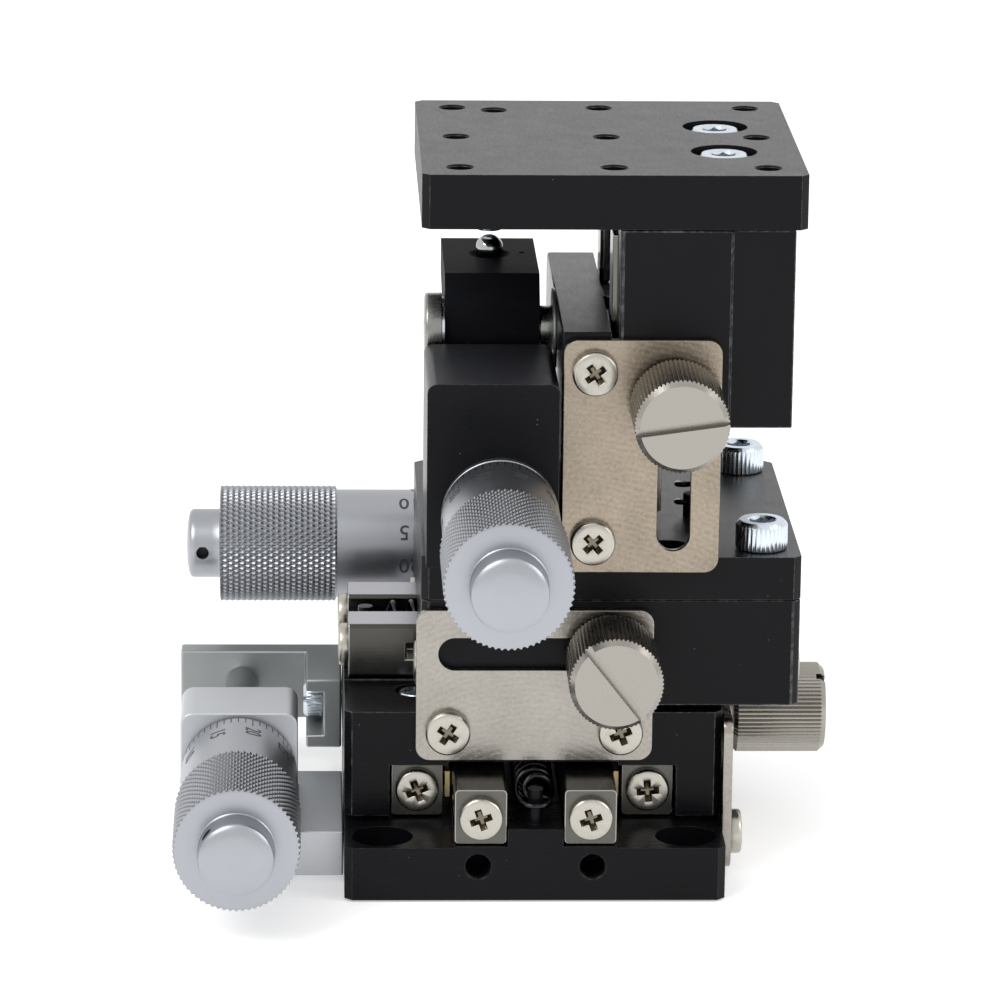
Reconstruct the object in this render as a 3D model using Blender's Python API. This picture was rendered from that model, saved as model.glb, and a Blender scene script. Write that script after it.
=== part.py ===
"""A small three-axis linear stage: two crossed-roller tables, a vertical crossed-roller slide that a
bell crank lifts, three micrometer heads and three clamp knobs. Metres, +Z up, +X to the right,
+Y away from the operator. The origin is the centre of the base plate's underside."""

import math

import bmesh
import bpy
from mathutils import Matrix, Vector

MM = 0.001

# Plates and the layers that they form. Every layer has a flange, two pairs of rails and a table
plate_side = 40.0 * MM
corner_chamfer = 0.8 * MM
flange_height = 5.75 * MM
table_height = 11.5 * MM
running_gap = 0.75 * MM
seat_rise = 0.15 * MM
seat_gap = 0.1 * MM
contact_gap = 0.3 * MM
overrun = 1.5 * MM

# Where each stage stands along its travel, from the middle of its fixed rails
y_rest = 8.5 * MM
x_rest = 8.0 * MM

# Crossed-roller guides
rail_width = 5.5 * MM
rail_height = 6.0 * MM
rail_edge = 0.4 * MM
rail_gap = 1.0 * MM
rib_width = 6.0 * MM
rib_rise = 2.05 * MM
fixed_rail_length = 39.0 * MM
y_moving_rail_length = 36.5 * MM
x_moving_rail_length = 39.0 * MM
pocket_side_gap = 0.2 * MM
relief_gap = 0.5 * MM
roller_radius = 1.0 * MM
roller_length = 1.8 * MM
roller_clearance = 0.06 * MM
roller_pitch = 5.0 * MM
cage_thickness = 0.5 * MM
cage_height = 2.8 * MM
roller_count = 5
roller_sides = 6
end_screw_radius = 2.3 * MM
end_screw_height = 1.3 * MM
end_screw_dome = 0.6 * MM

# Mounting holes: M3 on a 32 mm square in the base, M3 on a 16 mm grid in the top plate
base_hole_pitch = 32.0 * MM
m3_hole_radius = 1.7 * MM
m3_thread_radius = 1.6 * MM
m3_counterbore_radius = 3.25 * MM
m3_counterbore_depth = 3.3 * MM
front_hole_offset = 6.0 * MM
front_hole_height = 3.7 * MM
front_hole_radius = 1.25 * MM
front_hole_depth = 6.0 * MM
rail_screw_radius = 2.3 * MM
rail_screw_depth = 3.2 * MM
rail_screw_offset = 12.0 * MM
rail_screw_hole_radius = 1.1 * MM

# Socket cap screws
m3_shank_radius = 1.45 * MM
m3_head_radius = 2.75 * MM
m3_head_height = 3.0 * MM
m3_head_edge = 0.35 * MM
m3_socket_radius = 1.45 * MM
m3_socket_depth = 1.5 * MM
m3_grip = 4.0 * MM

# Micrometer heads
thimble_skirt_radius = 6.15 * MM
thimble_skirt_length = 12.6 * MM
thimble_grip_radius = 6.6 * MM
thimble_grip_length = 13.2 * MM
thimble_edge = 0.5 * MM
thimble_wall = 1.15 * MM
thimble_end_wall = 1.7 * MM
thimble_reserve = 9.0 * MM
cap_radius = 3.9 * MM
cap_length = 3.8 * MM
cap_hole_radius = 0.75 * MM
sleeve_radius = 4.75 * MM
sleeve_length = 19.5 * MM
sleeve_collar = 0.6 * MM
spindle_radius = 1.85 * MM
spindle_clearance = 0.15 * MM
spindle_seat = 3.0 * MM
thimble_sides = 24
sleeve_sides = 20
spindle_sides = 12

# Micrometer holders and anvils of the two horizontal stages
micrometer_height = 10.0 * MM
holder_leg_thickness = 4.9 * MM
holder_leg_height = 4.9 * MM
holder_leg_front = 13.5 * MM
holder_leg_back = 7.5 * MM
holder_bottom = 0.5 * MM
holder_width = 12.3 * MM
holder_thickness = 9.7 * MM
holder_front = 7.0 * MM
holder_over_axis = 6.45 * MM
holder_round = 1.3 * MM
anvil_thickness = 3.0 * MM
anvil_height = 7.8 * MM
anvil_drop = 0.7 * MM
anvil_reach = 17.9 * MM
anvil_leg_length = 14.0 * MM
anvil_leg_thickness = 3.9 * MM
anvil_slot_width = 5.0 * MM
anvil_slot_depth = 1.9 * MM
anvil_slot_length = 9.0 * MM
anvil_screw_radius = 2.1 * MM
anvil_screw_head = 2.1 * MM
anvil_screw_shank_radius = 1.1 * MM
anvil_screw_grip = 3.0 * MM
anvil_screw_socket = 1.0 * MM
anvil_screw_setback = 5.0 * MM

# Clamp plates and their knurled knobs
clamp_length = 25.0 * MM
clamp_width = 16.5 * MM
clamp_thickness = 1.0 * MM
clamp_round = 1.5 * MM
clamp_bottom = 0.75 * MM
clamp_slot_length = 20.3 * MM
clamp_slot_width = 3.5 * MM
clamp_slot_height = 12.45 * MM
clamp_screw_spacing = 18.2 * MM
clamp_screw_height = 4.0 * MM
clamp_screw_radius = 2.375 * MM
clamp_screw_head = 1.35 * MM
clamp_screw_dome = 0.65 * MM
cross_reach = 1.3 * MM
cross_width = 0.62 * MM
cross_depth = 0.8 * MM
knob_radius = 4.9 * MM
knob_length = 10.0 * MM
knob_edge = 0.5 * MM
knurl_depth = 0.28 * MM
knob_boss_radius = 3.2 * MM
knob_boss_length = 1.3 * MM
knob_slot_width = 1.0 * MM
knob_slot_depth = 1.0 * MM
knob_shank_radius = 1.45 * MM
knob_shank_reach = 3.8 * MM
knurl_count = 24

# Return springs of the horizontal stages
wire_radius = 0.3 * MM
coil_radius = 1.55 * MM
spring_height = 10.1 * MM
spring_lead = 1.4 * MM
post_radius = 0.8 * MM
post_top = 11.7 * MM
post_setback = 2.4 * MM
coil_count = 13
points_per_coil = 8

# Vertical stage: base plate, wall and slide, from the middle of the table that it stands on
z_plate_height = 4.75 * MM
wall_face = -0.4 * MM
wall_thickness = 5.1 * MM
wall_height = 24.2 * MM
wall_chamfer = 1.5 * MM
z_fixed_rail_length = 21.0 * MM
z_moving_rail_length = 18.0 * MM
z_rail_centre = 12.3 * MM
z_block_bottom = 13.9 * MM
z_block_length = 21.1 * MM
z_block_depth = 18.25 * MM
z_block_step = 0.4 * MM
z_block_step_width = 6.6 * MM
z_block_edge = 0.3 * MM
z_roller_count = 3
z_roller_pitch = 2.4 * MM
z_cage_shift = 0.75 * MM
z_clamp_centre = 11.15 * MM
z_knob_height = 17.2 * MM
z_screw_pitch = 32.0 * MM
z_access_hole_radius = 2.8 * MM
z_access_hole_depth = 3.0 * MM
z_access_hole_x = 6.0 * MM

# Top plate
top_plate_shift = -0.2 * MM
top_hole_pitch = 16.0 * MM
top_thread_radius = 1.3 * MM
top_extra_x = -11.5 * MM
top_extra_y = 14.6 * MM
top_screw_x = 12.0 * MM
top_screw_front = -7.5 * MM
top_screw_back = 5.8 * MM
top_counterbore_radius = 3.5 * MM

# Vertical drive: micrometer block, bell crank, ball and stud
drive_x = -12.3 * MM
z_micrometer_height = 5.9 * MM
z_holder_left = 7.3 * MM
z_holder_right = 6.4 * MM
z_holder_front = 24.5 * MM
z_holder_back = 6.7 * MM
z_holder_height = 19.75 * MM
z_holder_edge = 0.5 * MM
lever_slot_width = 7.2 * MM
lever_slot_depth = 4.8 * MM
lever_slot_floor = 3.5 * MM
lever_slot_height = 14.5 * MM
pivot_y = -2.7 * MM
pivot_height = 20.6 * MM
lever_width = 10.1 * MM
lever_hub_radius = 2.5 * MM
lever_rise = 6.05 * MM
lever_round = 4.0 * MM
lever_reach = 17.0 * MM
lever_tip_depth = 3.4 * MM
lever_root_depth = 7.6 * MM
lever_root_reach = 3.0 * MM
lever_bore_clearance = 0.12 * MM
finger_width = 6.0 * MM
finger_length = 14.6 * MM
finger_nose_radius = 1.5 * MM
ball_radius = 1.5 * MM
ball_arm = 9.2 * MM
ball_proud = 0.65 * MM
finger_clearance = 0.4 * MM
z_micrometer_shift = 0.3 * MM
z_thimble_gap = 1.6 * MM
z_flange_thickness = 1.2 * MM
z_flange_radius = 6.1 * MM
stud_radius = 2.1 * MM
stud_edge = 0.8 * MM
stud_lead = 1.1 * MM
pivot_radius = 1.5 * MM
pivot_head_radius = 3.75 * MM
pivot_head_length = 1.8 * MM
pivot_head_edge = 0.5 * MM
pivot_side_gap = 0.35 * MM
pivot_grip = 3.5 * MM
pivot_socket_radius = 1.3 * MM
pivot_socket_depth = 1.1 * MM
spacer_radius = 2.4 * MM

# Vertical return spring
z_spring_x = 9.5 * MM
z_spring_y = -3.5 * MM
z_coil_radius = 1.7 * MM
z_spring_bore_radius = 2.5 * MM
z_spring_bore_depth = 9.0 * MM
z_post_radius = 1.0 * MM
z_post_height = 2.6 * MM
z_coil_count = 9

hole_sides = 10
round_sides = 12
end_screw_sides = 10
corner_steps = 3

# Angles
finger_tilt = math.radians(26.5)
eighth_turn = math.radians(45)
quarter_turn = math.radians(90)
half_turn = math.radians(180)
full_turn = math.radians(360)
x_knob_slot_angle = math.radians(38)
z_knob_slot_angle = math.radians(8)
y_knob_slot_angle = math.radians(30)

# Places that follow from the sizes above, in a layer's own frame: travel along +Y, rails on its
# flange, micrometer on its -X side and clamp on its +X side
half_side = plate_side / 2
rail_bottom = flange_height + seat_rise + seat_gap
rail_top = rail_bottom + rail_height
rail_middle = rail_bottom + rail_height / 2
table_bottom = flange_height + running_gap
anvil_bottom = table_bottom - anvil_drop
layer_pitch = running_gap + table_height
inner_rail_x = rib_width / 2
roller_x = inner_rail_x + rail_width + rail_gap / 2
outer_rail_x = roller_x + rail_gap / 2 + rail_width
groove_depth = math.sqrt(2) * (roller_radius + roller_clearance) - rail_gap / 2
pocket_half_width = outer_rail_x + pocket_side_gap
pocket_top = rail_top + seat_gap
relief_top = rail_top + relief_gap
relief_half_width = roller_x
side_face = half_side + seat_gap
micrometer_x = -(side_face + holder_leg_thickness + holder_width / 2)
thimble_length = thimble_skirt_length + thimble_grip_length
thimble_bore_radius = thimble_skirt_radius - thimble_wall
knob_seat = side_face + clamp_thickness + seat_gap
hook_radius = post_radius + contact_gap + wire_radius


def clear_scene():
    for obj in list(bpy.data.objects):
        bpy.data.objects.remove(obj, do_unlink=True)


# Finishes


def finish(name, colour, roughness, metallic):
    material = bpy.data.materials.new(name)
    material.use_nodes = True
    shader = material.node_tree.nodes["Principled BSDF"]
    shader.inputs["Base Color"].default_value = (*colour, 1)
    shader.inputs["Roughness"].default_value = roughness
    shader.inputs["Metallic"].default_value = metallic
    return material


def make_finishes():
    return {
        "black_anodised": finish("black_anodised", (0.018, 0.018, 0.021), 0.42, 0.3),
        "clear_anodised": finish("clear_anodised", (0.66, 0.67, 0.68), 0.38, 0.85),
        "micrometer_satin": finish("micrometer_satin", (0.62, 0.64, 0.68), 0.34, 0.9),
        "rail_steel": finish("rail_steel", (0.36, 0.35, 0.33), 0.3, 1.0),
        "nickel_plate": finish("nickel_plate", (0.6, 0.57, 0.52), 0.28, 1.0),
        "knob_steel": finish("knob_steel", (0.55, 0.53, 0.5), 0.26, 1.0),
        "zinc_screw": finish("zinc_screw", (0.7, 0.74, 0.78), 0.24, 1.0),
        "polished_steel": finish("polished_steel", (0.72, 0.72, 0.72), 0.08, 1.0),
        "cage_brass": finish("cage_brass", (0.7, 0.55, 0.28), 0.35, 1.0),
        "spring_wire": finish("spring_wire", (0.2, 0.2, 0.2), 0.3, 1.0),
    }


# Outlines, as lists of points in a plane


def chamfered(half_u, half_v, edge, centre=(0, 0)):
    corners = []
    for sign_u, sign_v in ((1, -1), (1, 1), (-1, 1), (-1, -1)):
        u, v = sign_u * half_u, sign_v * half_v
        along_u = (centre[0] + u - sign_u * edge, centre[1] + v)
        along_v = (centre[0] + u, centre[1] + v - sign_v * edge)
        corners += [along_u, along_v] if sign_u * sign_v < 0 else [along_v, along_u]
    return corners


def arc(centre, radius, start, stop, steps):
    points = []
    for step in range(steps + 1):
        angle = start + (stop - start) * step / steps
        points.append((centre[0] + radius * math.cos(angle), centre[1] + radius * math.sin(angle)))
    return points


def rounded(half_u, half_v, radius, centre=(0, 0)):
    points = []
    for turn, (sign_u, sign_v) in enumerate(((1, 1), (-1, 1), (-1, -1), (1, -1))):
        middle = (
            centre[0] + sign_u * (half_u - radius),
            centre[1] + sign_v * (half_v - radius),
        )
        start = turn * quarter_turn
        points += arc(middle, radius, start, start + quarter_turn, corner_steps)
    return points


def slotted(half_length, radius, centre=(0, 0)):
    right = (centre[0] + half_length - radius, centre[1])
    left = (centre[0] - half_length + radius, centre[1])
    steps = 2 * corner_steps
    return arc(right, radius, -quarter_turn, quarter_turn, steps) + arc(
        left, radius, quarter_turn, 3 * quarter_turn, steps
    )


def rectangle(low, high):
    return [(low[0], low[1]), (high[0], low[1]), (high[0], high[1]), (low[0], high[1])]


def cross(reach, half_width):
    quarter = [(reach, -half_width), (reach, half_width), (half_width, half_width)]
    points = []
    for turn in range(4):
        c, s = round(math.cos(turn * quarter_turn)), round(math.sin(turn * quarter_turn))
        points += [(c * u - s * v, s * u + c * v) for u, v in quarter]
    return points


# Closed shapes


def spot(axis, u, v, w):
    """A point from its place in an outline's plane and its height along the axis."""
    return Vector({"X": (w, u, v), "Y": (u, w, v), "Z": (u, v, w)}[axis])


def prism(bm, axis, outline, low, high):
    bottom = [bm.verts.new(spot(axis, u, v, low)) for u, v in outline]
    top = [bm.verts.new(spot(axis, u, v, high)) for u, v in outline]
    faces = [bm.faces.new(bottom), bm.faces.new(top)]
    for i, vert in enumerate(bottom):
        j = (i + 1) % len(bottom)
        faces.append(bm.faces.new((vert, bottom[j], top[j], top[i])))
    bmesh.ops.recalc_face_normals(bm, faces=faces)


def block(bm, low, high):
    prism(bm, "Z", rectangle(low, high), low[2], high[2])


def turned(bm, axis, centre, profile, sides):
    """Turns a profile of (radius, height) points about an axis. Where it starts or ends on the axis it
    closes on a point, and otherwise its last point joins its first."""
    rings = []
    for radius, height in profile:
        count = sides if radius > 0 else 1
        ring = []
        for i in range(count):
            angle = full_turn * (i + 0.5) / sides
            u, v = radius * math.cos(angle), radius * math.sin(angle)
            ring.append(bm.verts.new(Vector(centre) + spot(axis, u, v, height)))
        rings.append(ring)
    pairs = list(zip(rings, rings[1:]))
    if len(rings[0]) > 1 and len(rings[-1]) > 1:
        pairs.append((rings[-1], rings[0]))
    faces = []
    for first, second in pairs:
        for i in range(sides):
            j = (i + 1) % sides
            corners = [first[i % len(first)], first[j % len(first)]]
            corners += [second[j % len(second)], second[i % len(second)]]
            unlike = list(dict.fromkeys(corners))
            if len(unlike) > 2:
                faces.append(bm.faces.new(unlike))
    bmesh.ops.recalc_face_normals(bm, faces=faces)


def drill(bm, axis, mouth, inward, radius, depth, sides=hole_sides):
    """A round hole's cutter. inward is 1 or -1, the way that it goes along the axis."""
    profile = [(0, -inward * overrun), (radius, -inward * overrun)]
    profile += [(radius, inward * depth), (0, inward * depth)]
    turned(bm, axis, mouth, profile, sides)


def counterbore(bm, axis, mouth, inward, head_radius, head_depth, radius, depth):
    profile = [(0, -inward * overrun), (head_radius, -inward * overrun)]
    profile += [(head_radius, inward * head_depth), (radius, inward * head_depth)]
    profile += [(radius, inward * depth), (0, inward * depth)]
    turned(bm, axis, mouth, profile, round_sides)


def solid(name, make, *sizes, **named):
    """An object whose mesh is what make draws."""
    mesh = bpy.data.meshes.new(name)
    bm = bmesh.new()
    make(bm, *sizes, **named)
    bm.to_mesh(mesh)
    bm.free()
    obj = bpy.data.objects.new(name, mesh)
    bpy.context.scene.collection.objects.link(obj)
    return obj


def combine(obj, operation, make, *sizes, **named):
    """Cuts, joins or keeps what obj shares with the shape that make draws, and drops the tool."""
    tool = solid("tool", make, *sizes, **named)
    tool.hide_render = True
    tool.display_type = "WIRE"
    modifier = obj.modifiers.new(operation.lower(), "BOOLEAN")
    modifier.operation = operation
    modifier.object = tool
    graph = bpy.context.evaluated_depsgraph_get()
    mesh = bpy.data.meshes.new_from_object(obj.evaluated_get(graph))
    obj.modifiers.clear()
    old = obj.data
    obj.data = mesh
    mesh.name = obj.name
    bpy.data.meshes.remove(old)
    bpy.data.objects.remove(tool, do_unlink=True)


def cut(obj, make, *sizes, **named):
    combine(obj, "DIFFERENCE", make, *sizes, **named)


def join(obj, make, *sizes, **named):
    combine(obj, "UNION", make, *sizes, **named)


def smooth(obj):
    obj.data.shade_smooth()
    obj.data.set_sharp_from_angle(angle=eighth_turn / 2 + eighth_turn / 4)


def place(obj, parent, at=(0, 0, 0), turn=(0, 0, 0)):
    obj.parent = parent
    obj.location = at
    obj.rotation_euler = turn


def frame(name, parent, at=(0, 0, 0), turn=(0, 0, 0)):
    empty = bpy.data.objects.new(name, None)
    bpy.context.scene.collection.objects.link(empty)
    place(empty, parent, at, turn)
    return empty


def copy_of(obj, name):
    twin = bpy.data.objects.new(name, obj.data)
    bpy.context.scene.collection.objects.link(twin)
    return twin


def dress(obj, material):
    obj.data.materials.clear()
    obj.data.materials.append(material)
    smooth(obj)


# Guides


def rail_outline():
    """A rail's section: its back at 0, its V-groove at its width, standing on 0."""
    middle, edge = rail_height / 2, rail_edge
    return [
        (edge, 0),
        (rail_width, 0),
        (rail_width, middle - groove_depth),
        (rail_width - groove_depth, middle),
        (rail_width, middle + groove_depth),
        (rail_width, rail_height),
        (edge, rail_height),
        (0, rail_height - edge),
        (0, edge),
    ]


def end_screw(bm, length, end):
    """A pan head on a rail's end, sunk a little into the steel that it is joined to."""
    start = end * (length / 2 - end_screw_dome)
    reach = end * (length / 2 + end_screw_height)
    shoulder = reach - end * end_screw_dome
    profile = [(0, start), (end_screw_radius, start), (end_screw_radius, shoulder)]
    profile += [(end_screw_radius - end_screw_dome, reach), (0, reach)]
    turned(bm, "Y", (rail_width / 2, 0, rail_height / 2), profile, end_screw_sides)


def make_rail(name, length, material):
    rail = solid(name, prism, "Y", rail_outline(), -length / 2, length / 2)
    for end in (-1, 1):
        join(rail, end_screw, length, end)
    dress(rail, material)
    return rail


def cage_plate(bm, count, pitch):
    half = (cage_thickness / 2, count * pitch / 2, cage_height / 2)
    block(bm, [-size for size in half], half)


def crossed_rollers(bm, count, pitch):
    """Rollers whose axes lean to one side and to the other by turns."""
    profile = [(0, -roller_length / 2), (roller_radius, -roller_length / 2)]
    profile += [(roller_radius, roller_length / 2), (0, roller_length / 2)]
    for number in range(count):
        before = set(bm.verts)
        turned(bm, "Z", (0, 0, 0), profile, roller_sides)
        lean = eighth_turn if number % 2 else -eighth_turn
        along = (number - (count - 1) / 2) * pitch
        matrix = Matrix.Translation((0, along, 0)) @ Matrix.Rotation(lean, 4, "Y")
        bmesh.ops.transform(bm, matrix=matrix, verts=[v for v in bm.verts if v not in before])


def make_guides(prefix, sides, lengths, rollers, fixed, moving, middle, finishes):
    """The two fixed rails, the two moving rails and the two cages between them, whose middle is given.
    sides names the pieces on the layer's -X and +X side."""
    inner = outer = None
    names = zip((-1, 1), sides)
    for sign, side in names:
        facing = 0 if sign > 0 else half_turn
        name = f"{prefix}_rail_inner_{side}"
        inner = copy_of(inner, name) if inner else make_rail(name, lengths[0], finishes["rail_steel"])
        place(inner, fixed, (sign * inner_rail_x, 0, rail_bottom), (0, 0, facing))
        name = f"{prefix}_rail_outer_{side}"
        outer = copy_of(outer, name) if outer else make_rail(name, lengths[1], finishes["rail_steel"])
        place(outer, moving, (sign * outer_rail_x, 0, rail_bottom), (0, 0, half_turn - facing))
    cage = None
    halfway = frame(f"{prefix}_cages", fixed, (0, middle, 0))
    for sign, side in zip((-1, 1), sides):
        name = f"{prefix}_cage_{side}"
        if cage:
            cage = copy_of(cage, name)
        else:
            cage = solid(name, cage_plate, *rollers)
            join(cage, crossed_rollers, *rollers)
            dress(cage, finishes["cage_brass"])
        place(cage, halfway, (sign * roller_x, 0, rail_middle))


# Tables


def table_outline(bm, length, height, edge):
    prism(bm, "Z", chamfered(half_side, length / 2, edge), table_bottom, table_bottom + height)


def rail_pocket(bm, length):
    """What the rails of the layer below take out of a table's underside."""
    reach = length / 2 + overrun
    low = table_bottom - overrun
    outline = [
        (-pocket_half_width, low),
        (pocket_half_width, low),
        (pocket_half_width, pocket_top),
        (relief_half_width, pocket_top),
        (relief_half_width, relief_top),
        (-relief_half_width, relief_top),
        (-relief_half_width, pocket_top),
        (-pocket_half_width, pocket_top),
    ]
    prism(bm, "Y", outline, -reach, reach)


def rail_seats(bm, length):
    """The raised seats and the rib between the rails, on a flange, sunk a little into it."""
    seat = rib_width / 2 + rail_width
    rib = rib_width / 2 - seat_gap
    low = flange_height - corner_chamfer
    outline = [
        (-seat, low),
        (seat, low),
        (seat, flange_height + seat_rise),
        (rib, flange_height + seat_rise),
        (rib, flange_height + rib_rise),
        (-rib, flange_height + rib_rise),
        (-rib, flange_height + seat_rise),
        (-seat, flange_height + seat_rise),
    ]
    prism(bm, "Y", outline, -length / 2, length / 2)


def spring_post(bm, y, foot, top):
    profile = [(0, foot), (post_radius, foot), (post_radius, top), (0, top)]
    turned(bm, "Z", (0, y, 0), profile, hole_sides)


def along_x(make):
    """Draws what make draws in the next layer up, whose travel is along +X."""

    def drawn(bm, *sizes):
        before = set(bm.verts)
        make(bm, *sizes)
        matrix = Matrix.Translation((0, 0, layer_pitch)) @ Matrix.Rotation(-quarter_turn, 4, "Z")
        bmesh.ops.transform(bm, matrix=matrix, verts=[v for v in bm.verts if v not in before])

    return drawn


def flange_holes(bm):
    """Blind holes in a flange for what is screwed to its sides: the clamp plate and the holder."""
    for sign in (-1, 1):
        mouth = (half_side, sign * clamp_screw_spacing / 2, clamp_screw_height)
        drill(bm, "X", mouth, -1, m3_thread_radius, m3_grip)


def knob_hole(bm):
    mouth = (half_side, 0, clamp_slot_height)
    drill(bm, "X", mouth, -1, knob_shank_radius + spindle_clearance, knob_shank_reach + seat_gap)


def anvil_screw_hole(bm):
    mouth = (-half_side, half_side - anvil_screw_setback - anvil_thickness, anvil_middle())
    drill(bm, "X", mouth, 1, anvil_screw_shank_radius + seat_gap, anvil_screw_grip + seat_gap)


def rail_screw_holes(bm, length):
    """Counterbored holes through a table's top for the screws that hold its moving rails."""
    top = table_bottom + table_height
    x = outer_rail_x - rail_width / 2
    for sign_x in (-1, 1):
        for sign_y in (-1, 1):
            mouth = (sign_x * x, sign_y * length, top)
            depth = top - pocket_top + overrun
            counterbore(
                bm, "Z", mouth, -1, rail_screw_radius, rail_screw_depth, rail_screw_hole_radius, depth
            )


def base_holes(bm):
    for sign_x in (-1, 1):
        for sign_y in (-1, 1):
            mouth = (sign_x * base_hole_pitch / 2, sign_y * base_hole_pitch / 2, flange_height)
            counterbore(
                bm,
                "Z",
                mouth,
                -1,
                m3_counterbore_radius,
                m3_counterbore_depth,
                m3_hole_radius,
                flange_height + overrun,
            )
        mouth = (sign_x * front_hole_offset, -half_side, front_hole_height)
        drill(bm, "Y", mouth, 1, front_hole_radius, front_hole_depth)


def make_base(parent, finishes):
    base = solid(
        "base_plate", prism, "Z", chamfered(half_side, half_side, corner_chamfer), 0, flange_height
    )
    join(base, rail_seats, plate_side)
    join(base, spring_post, post_setback - half_side, flange_height, post_top)
    cut(base, base_holes)
    cut(base, flange_holes)
    dress(base, finishes["black_anodised"])
    place(base, parent)


def make_table(name):
    """A table with the pocket, the spring post and the holes that both horizontal stages have."""
    table = solid(name, table_outline, plate_side, table_height, corner_chamfer)
    cut(table, rail_pocket, plate_side)
    join(table, spring_post, half_side - post_setback, spring_height - wire_radius, pocket_top + overrun)
    cut(table, knob_hole)
    cut(table, anvil_screw_hole)
    return table


def finish_middle(table, parent, finishes):
    """The middle table carries the next layer's rails on its top."""
    join(table, along_x(rail_seats), plate_side)
    post_y = post_setback - half_side
    join(table, along_x(spring_post), post_y, flange_height, post_top)
    cut(table, rail_screw_holes, rail_screw_offset)
    cut(table, along_x(flange_holes))
    dress(table, finishes["black_anodised"])
    place(table, parent)


def finish_upper(table, parent, finishes):
    """The upper table takes the vertical stage's plate, and so has threads in its top."""

    def plate_threads(bm):
        for sign_x in (-1, 1):
            for sign_y in (-1, 1):
                x, y = sign_x * z_screw_pitch / 2, sign_y * z_screw_pitch / 2
                mouth = (x, y, table_bottom + table_height)
                drill(bm, "Z", mouth, -1, m3_thread_radius, m3_grip + seat_gap)

    cut(table, plate_threads)
    dress(table, finishes["black_anodised"])
    place(table, parent)


# Micrometer heads


def make_thimble_mesh(name, finishes):
    thimble = solid(name, thimble_outer)
    cut(thimble, thimble_inner)
    cut(thimble, cap_hole)
    dress(thimble, finishes["micrometer_satin"])
    return thimble


def thimble_outer(bm):
    skirt, grip, edge = thimble_skirt_radius, thimble_grip_radius, thimble_edge
    end = thimble_length + cap_length
    profile = [
        (0, 0),
        (skirt - edge / 2, 0),
        (skirt, -edge),
        (skirt, -thimble_skirt_length),
        (grip, -thimble_skirt_length - edge),
        (grip, -thimble_length + edge),
        (grip - edge, -thimble_length),
        (cap_radius, -thimble_length),
        (cap_radius, -end + edge),
        (cap_radius - edge, -end),
        (0, -end),
    ]
    turned(bm, "Y", (0, 0, 0), profile, thimble_sides)


def thimble_inner(bm):
    """The bore for the sleeve, and the smaller one that takes the spindle's end."""
    floor = thimble_length - thimble_end_wall
    seat = spindle_radius + spindle_clearance
    profile = [
        (0, overrun),
        (thimble_bore_radius, overrun),
        (thimble_bore_radius, -floor),
        (seat, -floor),
        (seat, -floor - spindle_seat),
        (0, -floor - spindle_seat),
    ]
    turned(bm, "Y", (0, 0, 0), profile, sleeve_sides)


def cap_hole(bm):
    mouth = (cap_radius, -thimble_length - cap_length / 2, 0)
    drill(bm, "X", mouth, -1, cap_hole_radius, cap_radius - spindle_radius)


def sleeve_body(bm, holder_depth, flange):
    """From the holder's front face at 0: back into the thimble along -Y, and through the holder. flange
    is the thickness of the flange that bears on the holder, or 0."""
    outer, inner = sleeve_radius, spindle_radius + spindle_clearance
    front = holder_depth + sleeve_collar
    profile = [(inner, front), (outer, front)]
    if flange:
        face = -seat_gap - flange
        profile += [(outer, -seat_gap), (z_flange_radius, -seat_gap)]
        profile += [(z_flange_radius, face), (outer, face)]
    profile += [(outer, -sleeve_length), (inner, -sleeve_length)]
    turned(bm, "Y", (0, 0, 0), profile, sleeve_sides)


def spindle_body(bm, tip, gap):
    """From the holder's front face at 0: its tip ahead at +Y, its end in the thimble's end wall."""
    back = -(gap + thimble_length - thimble_end_wall + spindle_seat - contact_gap)
    edge = contact_gap
    profile = [(0, back), (spindle_radius, back), (spindle_radius, tip - edge)]
    profile += [(spindle_radius - edge, tip), (0, tip)]
    turned(bm, "Y", (0, 0, 0), profile, spindle_sides)


def make_micrometer(prefix, parent, at, holder_depth, tip, gap, flange, finishes, shared):
    """A head whose holder's front face is at at, and whose thimble stands gap in front of it. shared keeps
    the first thimble for the others."""
    sleeve = solid(f"{prefix}_sleeve", sleeve_body, holder_depth, flange)
    dress(sleeve, finishes["micrometer_satin"])
    place(sleeve, parent, at)
    spindle = solid(f"{prefix}_spindle", spindle_body, tip, gap)
    dress(spindle, finishes["polished_steel"])
    place(spindle, parent, at)
    name = f"{prefix}_thimble"
    if "thimble" not in shared:
        shared["thimble"] = make_thimble_mesh(name, finishes)
        thimble = shared["thimble"]
    else:
        thimble = copy_of(shared["thimble"], name)
    place(thimble, parent, (at[0], at[1] - gap, at[2]))


# Holders and anvils


def holder_leg(bm):
    low = (-side_face - holder_leg_thickness, -holder_leg_front, holder_bottom)
    high = (-side_face, holder_leg_back, holder_bottom + holder_leg_height)
    block(bm, low, high)


def holder_block(bm):
    top = micrometer_height + holder_over_axis
    middle = (micrometer_x, (holder_bottom + top) / 2)
    half_width = holder_width / 2 + seat_gap
    outline = rounded(half_width, (top - holder_bottom) / 2, holder_round, middle)
    prism(bm, "Y", outline, -holder_front, -holder_front + holder_thickness)


def holder_bore(bm):
    mouth = (micrometer_x, -holder_front, micrometer_height)
    drill(bm, "Y", mouth, 1, sleeve_radius + seat_gap, holder_thickness + overrun, sleeve_sides)


def make_holder(name, parent, finishes):
    holder = solid(name, holder_leg)
    join(holder, holder_block)
    cut(holder, holder_bore)
    dress(holder, finishes["clear_anodised"])
    place(holder, parent)


def anvil_middle():
    return anvil_bottom + anvil_height / 2


def anvil_leg(bm):
    low = (-side_face - anvil_leg_thickness, half_side - anvil_leg_length, anvil_bottom)
    high = (-side_face, half_side, anvil_bottom + anvil_height)
    block(bm, low, high)


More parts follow.
